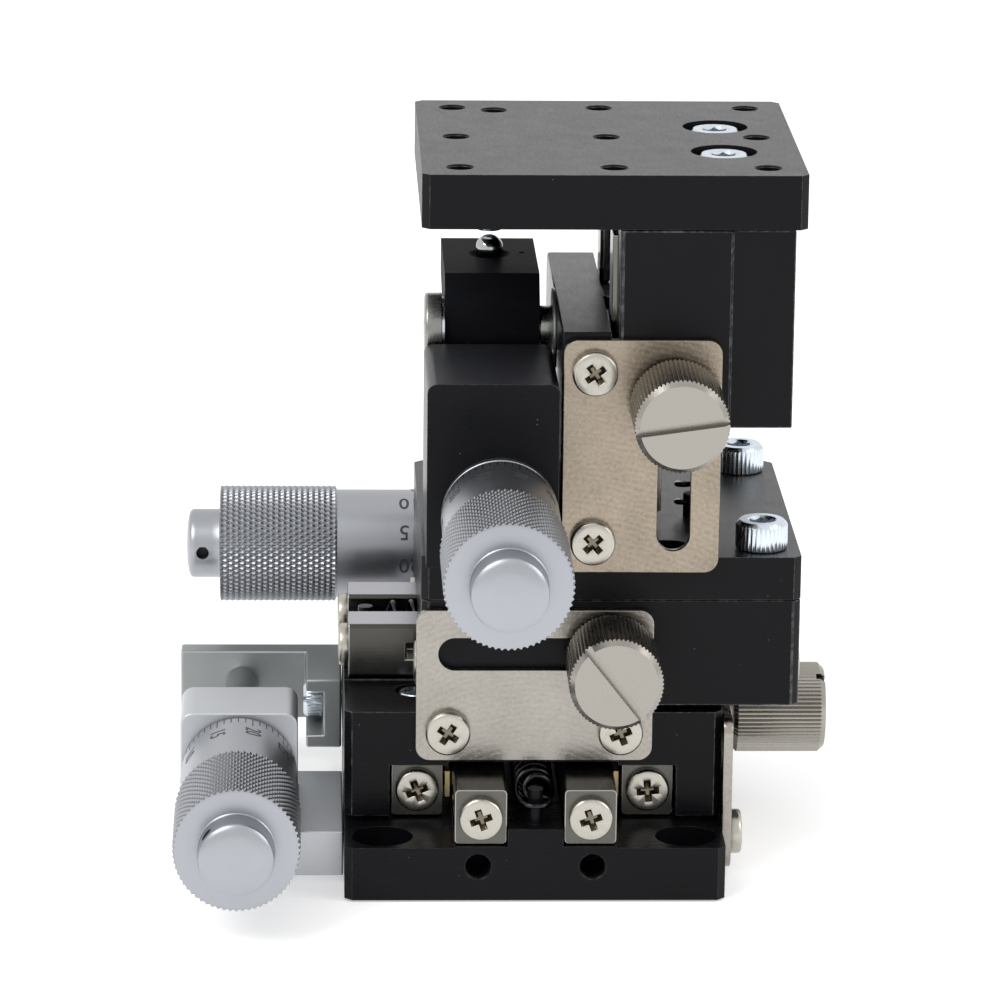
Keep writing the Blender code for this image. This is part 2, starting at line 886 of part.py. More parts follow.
def anvil_arm(bm):
    low = (-side_face - anvil_reach, half_side - anvil_thickness, anvil_bottom)
    high = (-side_face, half_side, anvil_bottom + anvil_height)
    block(bm, low, high)


def anvil_slot(bm):
    """The slot in the leg's outer face that the screw head lies in, open towards the front."""
    outer = -side_face - anvil_leg_thickness
    back = half_side - anvil_thickness - anvil_screw_setback + anvil_slot_width / 2
    front = half_side - anvil_leg_length - overrun
    low = (outer - overrun, front, anvil_middle() - anvil_slot_width / 2)
    high = (outer + anvil_slot_depth, back, anvil_middle() + anvil_slot_width / 2)
    block(bm, low, high)


def anvil_screw_slot(bm):
    mouth = (-side_face, half_side - anvil_thickness - anvil_screw_setback, anvil_middle())
    radius = anvil_screw_shank_radius + seat_gap
    drill(bm, "X", mouth, -1, radius, anvil_leg_thickness + overrun)


def cap_screw(bm, radius, head, shank, shank_radius, edge):
    """A cap screw along +Z: its shank below 0 and its head above."""
    profile = [(0, -shank), (shank_radius, -shank), (shank_radius, 0), (radius, 0)]
    profile += [(radius, head - edge), (radius - edge, head), (0, head)]
    turned(bm, "Z", (0, 0, 0), profile, round_sides)


def hexagon(bm, radius, top, depth):
    profile = [(0, top - depth), (radius, top - depth), (radius, top + overrun), (0, top + overrun)]
    turned(bm, "Z", (0, 0, 0), profile, 6)


def make_cap_screw(name, finishes):
    length = z_plate_height + m3_grip - seat_gap
    screw = solid(
        name, cap_screw, m3_head_radius, m3_head_height, length, m3_shank_radius, m3_head_edge
    )
    cut(screw, hexagon, m3_socket_radius, m3_head_height, m3_socket_depth)
    dress(screw, finishes["zinc_screw"])
    return screw


def make_anvil(name, parent, finishes):
    anvil = solid(name, anvil_leg)
    join(anvil, anvil_arm)
    cut(anvil, anvil_slot)
    cut(anvil, anvil_screw_slot)
    dress(anvil, finishes["clear_anodised"])
    place(anvil, parent)
    depth = anvil_leg_thickness - anvil_slot_depth
    screw = solid(
        f"{name}_screw",
        cap_screw,
        anvil_screw_radius,
        anvil_screw_head,
        depth + anvil_screw_grip,
        anvil_screw_shank_radius,
        seat_gap,
    )
    cut(screw, hexagon, anvil_screw_socket, anvil_screw_head, anvil_screw_socket)
    dress(screw, finishes["zinc_screw"])
    x = -side_face - depth - seat_gap
    y = half_side - anvil_thickness - anvil_screw_setback
    place(screw, parent, (x, y, anvil_middle()), (0, -quarter_turn, 0))


# Clamps


def clamp_sheet(bm):
    middle = (0, clamp_bottom + clamp_width / 2)
    outline = rounded(clamp_length / 2, clamp_width / 2, clamp_round, middle)
    prism(bm, "X", outline, side_face, side_face + clamp_thickness)


def clamp_slot(bm):
    outline = slotted(clamp_slot_length / 2, clamp_slot_width / 2, (0, clamp_slot_height))
    prism(bm, "X", outline, side_face - overrun, side_face + clamp_thickness + overrun)


def clamp_screws(bm):
    """Domed heads on the sheet, and their shanks into the flange behind it."""
    face = side_face + clamp_thickness
    top = face + clamp_screw_head
    root = half_side - m3_grip + contact_gap
    profile = [
        (0, root),
        (m3_shank_radius, root),
        (m3_shank_radius, face - clamp_thickness / 2),
        (clamp_screw_radius, face - clamp_thickness / 2),
        (clamp_screw_radius, top - clamp_screw_dome),
        (clamp_screw_radius - clamp_screw_dome, top),
        (0, top),
    ]
    for sign in (-1, 1):
        centre = (0, sign * clamp_screw_spacing / 2, clamp_screw_height)
        turned(bm, "X", centre, profile, round_sides)


def clamp_crosses(bm):
    top = side_face + clamp_thickness + clamp_screw_head
    for sign in (-1, 1):
        shape = cross(cross_reach, cross_width / 2)
        middle = (sign * clamp_screw_spacing / 2, clamp_screw_height)
        outline = [(middle[0] + u, middle[1] + v) for u, v in shape]
        prism(bm, "X", outline, top - cross_depth, top + overrun)


def make_clamp_plate(name, parent, along, finishes, shared):
    if "clamp" in shared:
        plate = copy_of(shared["clamp"], name)
    else:
        plate = solid(name, clamp_sheet)
        cut(plate, clamp_slot)
        join(plate, clamp_screws)
        cut(plate, clamp_crosses)
        dress(plate, finishes["nickel_plate"])
        shared["clamp"] = plate
    place(plate, parent, (0, along, 0))


def knurled(radius):
    """A knurl's section: ridges with a V between each two."""
    points = []
    for step in range(2 * knurl_count):
        angle = full_turn * step / (2 * knurl_count)
        reach = radius if step % 2 else radius - knurl_depth
        points.append((reach * math.cos(angle), reach * math.sin(angle)))
    return points


def knob_grip(bm):
    """The knurled grip along +Z, with a bevel at both ends."""
    rings = []
    start = knob_boss_length
    end = knob_boss_length + knob_length
    for radius, height in (
        (knob_radius - knob_edge, start),
        (knob_radius, start + knob_edge),
        (knob_radius, end - knob_edge),
        (knob_radius - knob_edge, end),
    ):
        rings.append([bm.verts.new((u, v, height)) for u, v in knurled(radius)])
    faces = [bm.faces.new(rings[0]), bm.faces.new(rings[-1])]
    for low, high in zip(rings, rings[1:]):
        for i, vert in enumerate(low):
            j = (i + 1) % len(low)
            faces.append(bm.faces.new((vert, low[j], high[j], high[i])))
    bmesh.ops.recalc_face_normals(bm, faces=faces)


def knob_stem(bm):
    """The boss that presses on the clamp plate, and the screw behind it."""
    root = -(knob_seat - half_side + knob_shank_reach)
    inside = knob_boss_length + knob_edge
    profile = [(0, root), (knob_shank_radius, root), (knob_shank_radius, 0), (knob_boss_radius, 0)]
    profile += [(knob_boss_radius, inside), (0, inside)]
    turned(bm, "Z", (0, 0, 0), profile, round_sides)


def knob_slot(bm):
    top = knob_boss_length + knob_length
    low = (-knob_radius - overrun, -knob_slot_width / 2, top - knob_slot_depth)
    high = (knob_radius + overrun, knob_slot_width / 2, top + overrun)
    block(bm, low, high)


def make_knob(name, parent, at, slot_angle, finishes, shared):
    if "knob" in shared:
        knob = copy_of(shared["knob"], name)
    else:
        knob = solid(name, knob_grip)
        join(knob, knob_stem)
        cut(knob, knob_slot)
        dress(knob, finishes["knob_steel"])
        shared["knob"] = knob
    facing = Matrix.Rotation(slot_angle, 3, "X") @ Matrix.Rotation(quarter_turn, 3, "Y")
    place(knob, parent, (knob_seat, *at), facing.to_euler())


# Springs


def hooked_route(start, end, height):
    """A coil between two upright posts, with an open hook round each: start and end are the posts' places
    along Y."""
    first = start + hook_radius
    last = end - hook_radius
    coil_start, coil_end = first + spring_lead, last - spring_lead
    hook_steps = 3 * points_per_coil // 4
    points = []
    for step in range(hook_steps + 1):
        angle = quarter_turn - 3 * quarter_turn * (1 - step / hook_steps)
        x, y = hook_radius * math.cos(angle), hook_radius * math.sin(angle)
        points.append((x, start + y, height))
    turns = coil_count * points_per_coil
    lead_steps = points_per_coil // 2
    for step in range(1, lead_steps):
        share = step / lead_steps
        angle = -half_turn * (1 - share)
        radius = coil_radius * share
        y = first + spring_lead * share
        points.append((radius * math.sin(angle), y, height + radius * math.cos(angle)))
    for step in range(turns + 1):
        angle = full_turn * step / points_per_coil
        y = coil_start + (coil_end - coil_start) * step / turns
        points.append((coil_radius * math.sin(angle), y, height + coil_radius * math.cos(angle)))
    for step in range(1, lead_steps):
        share = 1 - step / lead_steps
        angle = half_turn * (1 - share)
        radius = coil_radius * share
        y = last - spring_lead * share
        points.append((radius * math.sin(angle), y, height + radius * math.cos(angle)))
    for step in range(hook_steps + 1):
        angle = -quarter_turn + 3 * quarter_turn * step / hook_steps
        x, y = hook_radius * math.cos(angle), hook_radius * math.sin(angle)
        points.append((x, end + y, height))
    return points


def upright_route(x, y, low, high):
    turns = z_coil_count * points_per_coil
    points = []
    for step in range(turns + 1):
        angle = full_turn * step / points_per_coil
        z = low + (high - low) * step / turns
        points.append((x + z_coil_radius * math.cos(angle), y + z_coil_radius * math.sin(angle), z))
    return points


def least_gap(points):
    """The least gap between two stretches of wire that aren't neighbours, from their points."""
    found = math.inf
    apart = points_per_coil // 2 + 1
    for i, one in enumerate(points):
        for other in points[i + apart :]:
            found = min(found, math.dist(one, other))
    return found - 2 * wire_radius


def make_spring(name, points, parent, finishes):
    curve = bpy.data.curves.new(name, "CURVE")
    curve.dimensions = "3D"
    curve.bevel_depth = wire_radius
    curve.bevel_resolution = 1
    curve.use_fill_caps = True
    spline = curve.splines.new("POLY")
    spline.points.add(len(points) - 1)
    for point, place_of in zip(spline.points, points):
        point.co = (*place_of, 1)
    curve.materials.append(finishes["spring_wire"])
    spring = bpy.data.objects.new(name, curve)
    bpy.context.scene.collection.objects.link(spring)
    spring.parent = parent
    print(f"{name}: least gap to itself {least_gap(points) / MM:.2f} mm")


# A horizontal layer: guides, micrometer, anvil, clamp and return spring


def make_layer(prefix, sides, fixed, rest, moving_length, finishes, shared):
    moving = frame(f"{prefix}_stage", fixed, (0, rest, 0))
    lengths = (fixed_rail_length, moving_length)
    rollers = (roller_count, roller_pitch)
    make_guides(prefix, sides, lengths, rollers, fixed, moving, rest / 2, finishes)
    make_holder(f"{prefix}_micrometer_holder", fixed, finishes)
    tip = holder_front + rest + half_side - anvil_thickness - contact_gap
    at = (micrometer_x, -holder_front, micrometer_height)
    gap = thimble_reserve - rest
    make_micrometer(prefix, fixed, at, holder_thickness, tip, gap, 0, finishes, shared)
    make_anvil(f"{prefix}_anvil", moving, finishes)
    make_clamp_plate(f"{prefix}_clamp_plate", fixed, 0, finishes, shared)
    start = post_setback - half_side
    end = rest + half_side - post_setback
    make_spring(f"{prefix}_spring", hooked_route(start, end, spring_height), fixed, finishes)
    return moving


# Vertical stage


def z_plate_body(bm):
    prism(bm, "Z", chamfered(half_side, half_side, corner_chamfer), seat_gap, z_plate_height)


def z_plate_holes(bm):
    for x, y in z_screw_places():
        drill(bm, "Z", (x, y, z_plate_height), -1, m3_hole_radius, z_plate_height + overrun)
    mouth = (z_access_hole_x, -z_screw_pitch / 2, z_plate_height)
    drill(bm, "Z", mouth, -1, z_access_hole_radius, z_access_hole_depth, round_sides)


def z_screw_places():
    half = z_screw_pitch / 2
    return ((half, -half), (half, half), (-half, half))


def z_post(bm):
    low, high = z_plate_height - seat_gap, z_plate_height + z_post_height
    profile = [(0, low), (z_post_radius, low), (z_post_radius, high), (0, high)]
    turned(bm, "Z", (z_spring_x, z_spring_y, 0), profile, hole_sides)


def wall_body(bm):
    """The upright wall, with the back corner of its top taken off."""
    low = z_plate_height + seat_gap
    high = z_plate_height + wall_height
    outline = [
        (-half_side, low),
        (half_side, low),
        (half_side, high - wall_chamfer),
        (half_side - wall_chamfer, high),
        (-half_side, high),
    ]
    prism(bm, "X", outline, wall_face - wall_thickness, wall_face)


def wall_seats(bm):
    """Seats for the fixed rails, raised a little on the wall's face."""
    half = rib_width / 2 + rail_width
    middle = z_plate_height + z_rail_centre
    low = (wall_face - seat_gap, -half, middle - z_fixed_rail_length / 2)
    high = (wall_face + seat_rise, half, middle + z_fixed_rail_length / 2)
    block(bm, low, high)


def wall_holes(bm):
    x = wall_face - flange_height + clamp_screw_height
    for sign in (-1, 1):
        z = z_plate_height + z_clamp_centre + sign * clamp_screw_spacing / 2
        drill(bm, "Y", (x, -half_side, z), 1, m3_thread_radius, m3_grip)
    mouth = (wall_face - wall_thickness, pivot_y, z_plate_height + pivot_height)
    drill(bm, "X", mouth, 1, pivot_radius + seat_gap, pivot_grip + contact_gap)


def z_block_step_cut(bm, length):
    """The shallow step down the outer part of the block's front."""
    high_z = table_bottom + z_block_depth
    low = (half_side - z_block_step, -length, high_z - z_block_step_width)
    high = (half_side + overrun, length, high_z + overrun)
    block(bm, low, high)


def z_knob_hole(bm, along):
    mouth = (half_side, along, clamp_slot_height)
    drill(bm, "X", mouth, -1, knob_shank_radius + spindle_clearance, knob_shank_reach + seat_gap)


def top_screw_places():
    return ((top_screw_x, top_screw_front), (top_screw_x, top_screw_back))


def make_top_plate(parent, height, finishes):
    """The plate that a sample or an instrument is screwed to."""

    def body(bm):
        outline = chamfered(half_side, half_side, corner_chamfer)
        prism(bm, "Z", outline, 0, flange_height)

    def threads(bm):
        for column in (-1, 0, 1):
            for row in (-1, 0, 1):
                mouth = (column * top_hole_pitch, row * top_hole_pitch, flange_height)
                drill(bm, "Z", mouth, -1, top_thread_radius, flange_height + overrun)
        mouth = (top_extra_x, top_extra_y, flange_height)
        drill(bm, "Z", mouth, -1, top_thread_radius, flange_height + overrun)

    def counterbores(bm):
        for x, y in top_screw_places():
            counterbore(
                bm,
                "Z",
                (x, y, flange_height),
                -1,
                top_counterbore_radius,
                m3_counterbore_depth,
                m3_hole_radius,
                flange_height + overrun,
            )

    plate = solid("top_plate", body)
    cut(plate, threads)
    cut(plate, counterbores)
    dress(plate, finishes["black_anodised"])
    place(plate, parent, (top_plate_shift, 0, height))


def z_holder_body(bm):
    half_width = (z_holder_left + z_holder_right) / 2
    middle = (drive_x + (z_holder_right - z_holder_left) / 2, 0)
    depth = (z_holder_front - z_holder_back) / 2
    centre = (middle[0], -(z_holder_front + z_holder_back) / 2)
    outline = chamfered(half_width, depth, z_holder_edge, centre)
    prism(bm, "Z", outline, z_plate_height + seat_gap, z_plate_height + z_holder_height)


def z_holder_hollow(bm):
    """The slot in the holder's back that the crank's finger swings in."""
    low = (
        drive_x - lever_slot_width / 2,
        -z_holder_back - lever_slot_depth,
        z_plate_height + lever_slot_floor,
    )
    high = (
        drive_x + lever_slot_width / 2,
        -z_holder_back + overrun,
        z_plate_height + lever_slot_floor + lever_slot_height,
    )
    block(bm, low, high)


def z_holder_bore(bm):
    across = drive_x + z_micrometer_shift
    mouth = (across, -z_holder_front, z_plate_height + z_micrometer_height)
    depth = z_holder_front - z_holder_back
    drill(bm, "Y", mouth, 1, sleeve_radius + seat_gap, depth - lever_slot_depth / 2, sleeve_sides)


def lever_body(bm):
    """The bell crank's upper arm and hub, seen along X with the pivot at 0: flat front and top, joined by
    a large round, and an underside that thins towards the arm's end."""
    hub = lever_hub_radius
    corner = (lever_round - hub, lever_rise - lever_round)
    outline = arc((0, 0), hub, half_turn, 3 * quarter_turn, corner_steps)
    outline += [
        (lever_root_reach, lever_rise - lever_root_depth),
        (lever_reach, lever_rise - lever_tip_depth),
        (lever_reach, lever_rise),
    ]
    outline += arc(corner, lever_round, quarter_turn, half_turn, 2 * corner_steps)
    prism(bm, "X", outline, -lever_width / 2, lever_width / 2)


def lever_finger(bm):
    """The lower finger, from the hub to its round nose."""
    c, s = math.cos(finger_tilt), math.sin(finger_tilt)
    nose = (finger_length * s, -finger_length * c)
    outline = arc(nose, finger_nose_radius, finger_tilt - half_turn, finger_tilt, 2 * corner_steps)
    hub = lever_hub_radius
    outline += [(hub * c, hub * s), (-hub * c, -hub * s)]
    prism(bm, "X", outline, -finger_width / 2, finger_width / 2)


def lever_bore(bm):
    mouth = (-lever_width / 2, 0, 0)
    radius = pivot_radius + lever_bore_clearance
    drill(bm, "X", mouth, 1, radius, lever_width + overrun, round_sides)


def sphere(bm, centre, radius, rows):
    profile = []
    for row in range(rows + 1):
        angle = half_turn * row / rows - quarter_turn
        on_axis = row in (0, rows)
        profile.append((0 if on_axis else radius * math.cos(angle), radius * math.sin(angle)))
    turned(bm, "Z", centre, profile, 2 * rows)


def make_lever(parent, finishes):
    """The bell crank at its pivot, and the ball that lifts the stud."""
    pivot = frame("lever_pivot_axis", parent, (drive_x, pivot_y, z_plate_height + pivot_height))
    lever = solid("bell_crank", lever_body)
    join(lever, lever_finger)
    cut(lever, lever_bore)
    ball_at = (0, ball_arm, lever_rise + ball_proud)
    cut(lever, sphere, ball_at, ball_radius + seat_gap, 6)
    dress(lever, finishes["black_anodised"])
    place(lever, pivot)
    ball = solid("crank_ball", sphere, (0, 0, 0), ball_radius, 8)
    dress(ball, finishes["polished_steel"])
    place(ball, pivot, ball_at)


def pivot_body(bm):
    """The crank's shoulder screw along +X, its head at the left and its end in the wall."""
    left = -lever_width / 2 - pivot_side_gap
    end = wall_face - wall_thickness - drive_x + pivot_grip
    profile = [
        (0, left - pivot_head_length),
        (pivot_head_radius - pivot_head_edge, left - pivot_head_length),
        (pivot_head_radius, left - pivot_head_length + pivot_head_edge),
        (pivot_head_radius, left),
        (pivot_radius, left),
        (pivot_radius, end),
        (0, end),
    ]
    turned(bm, "X", (0, 0, 0), profile, round_sides)


def pivot_socket(bm):
    """The hexagon socket in the shoulder screw's head."""
    face = -lever_width / 2 - pivot_side_gap - pivot_head_length
    profile = [(0, face - overrun), (pivot_socket_radius, face - overrun)]
    profile += [(pivot_socket_radius, face + pivot_socket_depth), (0, face + pivot_socket_depth)]
    turned(bm, "X", (0, 0, 0), profile, 6)


def spacer_body(bm):
    """The ring that keeps the crank off the wall."""
    start = lever_width / 2 + seat_gap
    end = wall_face - wall_thickness - drive_x - seat_gap
    inner = pivot_radius + seat_gap
    profile = [(inner, start), (spacer_radius, start), (spacer_radius, end), (inner, end)]
    turned(bm, "X", (0, 0, 0), profile, round_sides)


def make_pivot(parent, finishes):
    at = (drive_x, pivot_y, z_plate_height + pivot_height)
    screw = solid("crank_pivot_screw", pivot_body)
    cut(screw, pivot_socket)
    dress(screw, finishes["knob_steel"])
    place(screw, parent, at)
    spacer = solid("crank_spacer", spacer_body)
    dress(spacer, finishes["knob_steel"])
    place(spacer, parent, at)


def make_stud(parent, finishes):
    """The stud under the top plate that the crank's ball lifts."""
    ball_top = z_plate_height + pivot_height + lever_rise + ball_proud + ball_radius
    top = z_plate_height + z_block_bottom + z_block_length
    length = top - ball_top - contact_gap

    def body(bm):
        edge = stud_edge
        profile = [(0, -length), (stud_radius - edge, -length), (stud_radius, edge - length)]
        profile += [(stud_radius, 0), (0, 0)]
        turned(bm, "Z", (0, 0, 0), profile, round_sides)

    stud = solid("lift_stud", body)
    dress(stud, finishes["knob_steel"])
    place(stud, parent, (drive_x, pivot_y + ball_arm + stud_lead, top))


def make_z_block(parent, moving, along, finishes):
    """The sliding block of the vertical stage. along is where the clamp knob meets it, from its middle."""
    block_obj = solid("z_carriage", table_outline, z_block_length, z_block_depth, z_block_edge)
    cut(block_obj, rail_pocket, z_block_length)
    cut(block_obj, z_block_step_cut, z_block_length)
    cut(block_obj, z_knob_hole, along)
    floor_x = wall_face - flange_height

    def spring_bore(bm):
        """In the block's own frame its bottom is at +Y, and a place along X is a height there."""
        mouth = (-z_spring_y, z_block_length / 2, z_spring_x - floor_x)
        drill(bm, "Y", mouth, -1, z_spring_bore_radius, z_spring_bore_depth, round_sides)

    def screw_holes(bm):
        for x, y in top_screw_places():
            mouth = (-y, -z_block_length / 2, x + top_plate_shift - floor_x)
            drill(bm, "Y", mouth, 1, m3_thread_radius, m3_grip + z_plate_height)

    cut(block_obj, spring_bore)
    cut(block_obj, screw_holes)
    dress(block_obj, finishes["black_anodised"])
    place(block_obj, moving)


def make_vertical(x_stage, finishes, shared):
    """Everything on the upper table. Its own frame has its axes along the world's."""
    stand = frame("z_stand", x_stage, (0, 0, table_bottom + table_height), (0, 0, quarter_turn))
    plate = solid("z_base_plate", z_plate_body)
    join(plate, z_post)
    cut(plate, z_plate_holes)
    dress(plate, finishes["black_anodised"])
    place(plate, stand)
    wall = solid("z_wall", wall_body)
    join(wall, wall_seats)
    cut(wall, wall_holes)
    dress(wall, finishes["black_anodised"])
    place(wall, stand)

    # The slide's frame: its own X is the world's -Y, its Y is -Z and its Z is +X
    facing = Matrix(((0, 0, 1), (-1, 0, 0), (0, -1, 0))).to_euler()
    middle = z_plate_height + z_rail_centre
    slide = frame("z_slide", stand, (wall_face - flange_height, 0, middle), facing)
    block_middle = z_plate_height + z_block_bottom + z_block_length / 2
    rest = middle - block_middle
    moving = frame("z_stage", slide, (0, rest, 0))
    lengths = (z_fixed_rail_length, z_moving_rail_length)
    rollers = (z_roller_count, z_roller_pitch)
    cage_middle = rest / 2 - z_cage_shift
    make_guides("z", ("back", "front"), lengths, rollers, slide, moving, cage_middle, finishes)
    knob_along = block_middle - z_plate_height - z_knob_height
    make_z_block(stand, moving, knob_along, finishes)
    clamp_along = z_rail_centre - z_clamp_centre
    make_clamp_plate("z_clamp_plate", slide, clamp_along, finishes, shared)
    make_knob(
        "z_clamp_knob",
        moving,
        (knob_along, clamp_slot_height),
        z_knob_slot_angle,
        finishes,
        shared,
    )

    holder = solid("z_micrometer_holder", z_holder_body)
    cut(holder, z_holder_hollow)
    cut(holder, z_holder_bore)
    dress(holder, finishes["black_anodised"])
    place(holder, stand)
    nose = finger_length * math.sin(finger_tilt) - finger_nose_radius
    tip = z_holder_front + pivot_y + nose - finger_clearance
    across = drive_x + z_micrometer_shift
    at = (across, -z_holder_front, z_plate_height + z_micrometer_height)
    depth = z_holder_front - z_holder_back - lever_slot_depth - sleeve_collar - contact_gap
    gap, flange = z_thimble_gap, z_flange_thickness
    make_micrometer("z", stand, at, depth, tip, gap, flange, finishes, shared)
    make_lever(stand, finishes)
    make_pivot(stand, finishes)

    screw = make_cap_screw("z_plate_screw_1", finishes)
    for number, (x, y) in enumerate(z_screw_places(), 1):
        if number > 1:
            screw = copy_of(screw, f"z_plate_screw_{number}")
        place(screw, stand, (x, y, z_plate_height + seat_gap))

    top = z_plate_height + z_block_bottom + z_block_length
    make_top_plate(stand, top + seat_gap, finishes)
    seat = top + seat_gap + flange_height - m3_counterbore_depth + seat_gap
    for number, (x, y) in enumerate(top_screw_places(), 1):
        twin = copy_of(screw, f"top_plate_screw_{number}")
        place(twin, stand, (x + top_plate_shift, y, seat))
    make_stud(stand, finishes)

    low = z_plate_height + wire_radius + contact_gap
    ceiling = z_plate_height + z_block_bottom + z_spring_bore_depth
    high = ceiling - wire_radius - contact_gap
    make_spring("z_spring", upright_route(z_spring_x, z_spring_y, low, high), stand, finishes)


def main():
    clear_scene()
    finishes = make_finishes()
    shared = {}
    y_layer = frame("y_layer", None)
    make_base(y_layer, finishes)
    y_sides, x_sides = ("left", "right"), ("back", "front")
    y_stage = make_layer("y", y_sides, y_layer, y_rest, y_moving_rail_length, finishes, shared)
    at = (0, clamp_slot_height)
    make_knob("y_clamp_knob", y_stage, at, y_knob_slot_angle, finishes, shared)
    finish_middle(make_table("y_carriage"), y_stage, finishes)

    x_layer = frame("x_layer", y_stage, (0, 0, layer_pitch), (0, 0, -quarter_turn))
    x_stage = make_layer("x", x_sides, x_layer, x_rest, x_moving_rail_length, finishes, shared)
    make_knob("x_clamp_knob", x_stage, at, x_knob_slot_angle, finishes, shared)
    finish_upper(make_table("x_table"), x_stage, finishes)
    make_vertical(x_stage, finishes, shared)


main()
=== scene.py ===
"""Looks of a small three-axis linear stage: black anodised plates on crossed-roller guides, satin
micrometer heads, nickel clamp plates and knurled knobs. Lengths are in millimetres, and MM makes metres
of them."""

import math
import random

import bmesh
import bpy
from mathutils import Matrix, Vector


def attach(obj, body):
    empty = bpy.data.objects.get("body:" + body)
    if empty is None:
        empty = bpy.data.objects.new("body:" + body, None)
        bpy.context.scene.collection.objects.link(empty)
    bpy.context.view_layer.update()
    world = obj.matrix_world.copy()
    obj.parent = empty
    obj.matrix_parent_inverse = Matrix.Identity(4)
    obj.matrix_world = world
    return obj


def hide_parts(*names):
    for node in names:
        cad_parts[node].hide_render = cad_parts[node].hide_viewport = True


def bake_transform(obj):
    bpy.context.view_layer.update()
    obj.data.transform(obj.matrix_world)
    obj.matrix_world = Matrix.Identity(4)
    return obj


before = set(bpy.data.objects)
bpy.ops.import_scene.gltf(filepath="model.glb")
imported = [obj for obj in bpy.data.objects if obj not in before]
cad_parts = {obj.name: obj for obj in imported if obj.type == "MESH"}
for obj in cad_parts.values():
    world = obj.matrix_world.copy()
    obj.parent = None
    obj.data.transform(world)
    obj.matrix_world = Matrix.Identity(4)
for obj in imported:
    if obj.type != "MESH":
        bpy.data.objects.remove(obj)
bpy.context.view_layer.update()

MM = 0.001
QUARTER = math.pi / 2
TURN = 2 * math.pi
random.seed(7)

# Turns that lead a piece made along +Y upwards, to the right or to the left
TO_UP = Matrix.Rotation(QUARTER, 4, "X")
TO_RIGHT = Matrix.Rotation(-QUARTER, 4, "Z")
TO_LEFT = Matrix.Rotation(QUARTER, 4, "Z")

# The frames that the layers are modelled in, with the travel along +Y and the rails on both sides of it
Y_LAYER = Matrix.Identity(4)
X_LAYER = Matrix.Translation((0, 8.5, 12.25)) @ TO_RIGHT
SLIDE_TURN = Matrix(((0, 0, 1), (-1, 0, 0), (0, -1, 0))).to_4x4()
Z_LAYER = Matrix.Translation((1.85, 8.5, 47.3)) @ SLIDE_TURN

# Where each moving stage stands along its layer's travel
Y_OFFSET, X_OFFSET, Z_OFFSET = 8.5, 8.0, -12.15

# Plates, sheets, rails and the knobs' places, in a layer's frame
PLATE_CORNER = 0.8
CLAMP_SHEET_LOW, CLAMP_SHEET_HIGH = 20.1, 21.1
RAIL_WIDTH, RAIL_LOW, RAIL_MIDDLE, RAIL_HIGH = 5.5, 6, 9, 12
INNER_RAIL_BACK, OUTER_RAIL_BACK = 3, 15
KNOB_START, KNOB_HEIGHT = 21.2, 12.45

# How far a rail's groove stops before its two ends. A minus takes it past them.
GROOVE_STOPS = {"X": 6.2, "Y": 0.9, "Z": -1}

# The places (x, y) of cap screws: in the middle block, the upper stage's plate and the top plate
FIXING_PLACES = [(x, y) for x in (-12.25, 12.25) for y in (-3.5, 20.5)]
Z_PLATE_SCREWS = ((24, -7.5), (24, 24.5), (-8, 24.5))
TOP_SCREWS = ((19.8, 1.0), (19.8, 14.3))

# Micrometer heads in a layer's frame: their axis, the holder's front face and the anvil's face, the gap
# between spindle and anvil, and how far the thimble's edge stands off the holder if its stage is at 0
MICROMETER_X, MICROMETER_HEIGHT, HOLDER_FACE, ANVIL_FACE = -31.15, 10, -7, 17
TIP_GAP, THIMBLE_RESERVE = 0.3, 9

# Micrometer heads by themselves. The grip, the spanner hole and the spindle's rear end are placed from
# the skirt's edge.
SKIRT_RADIUS, GRIP_RADIUS, SLEEVE_RADIUS = 6.15, 6.6, 4.75
GRIP_START, GRIP_PITCHES, RINGS_PER_PITCH = 12.74, 10, 8
KNURL_PITCH, KNURL_TEETH = 1.296, 64
SPANNER_HOLE = 27.75
SPINDLE_BEHIND = 26.8
DIVISIONS = 50

# The spring posts along a layer's travel, and the vertical spring's axis
Y_POSTS, X_POSTS = (-17.6, 26.1), (-17.6, 25.6)
Z_SPRING_X, Z_SPRING_Y = 17.5, 5

# Vertical drive
PIVOT_X, PIVOT_Y, PIVOT_Z = PIVOT = (-4.3, 5.8, 55.6)
BALL_PLACE = Vector((-4.3, 15, 62.3)) * MM
HUB_RADIUS, FINGER_LENGTH, FINGER_NOSE, FINGER_TILT = 2.5, 14.6, 1.5, 26.5


# Modelling by hand


def fresh():
    if bpy.context.object and bpy.context.object.mode != "OBJECT":
        bpy.ops.object.mode_set(mode="OBJECT")
    bpy.ops.object.select_all(action="DESELECT")


def pick(obj):
    fresh()
    obj.select_set(True)
    bpy.context.view_layer.objects.active = obj


def settle(name, matrix=None):
    """Names the active object and puts its place into its mesh."""
    obj = bpy.context.object
    if obj.mode != "OBJECT":
        bpy.ops.object.mode_set(mode="OBJECT")
    bpy.ops.object.transform_apply(location=True, rotation=True, scale=True)
    if matrix is not None:
        move(obj, matrix)
    obj.name = obj.data.name = name
    return obj


def move(obj, matrix):
    """Moves a mesh by a matrix whose shift is in millimetres."""
    turn, way = matrix.to_3x3().to_4x4(), matrix.to_translation() * MM
    obj.data.transform(Matrix.Translation(way) @ turn)
    return obj


def block(name, low, high):
    fresh()
    low, high = Vector(low) * MM, Vector(high) * MM
    bpy.ops.mesh.primitive_cube_add(size=1, location=(low + high) / 2)
    bpy.context.object.scale = high - low
    return settle(name)


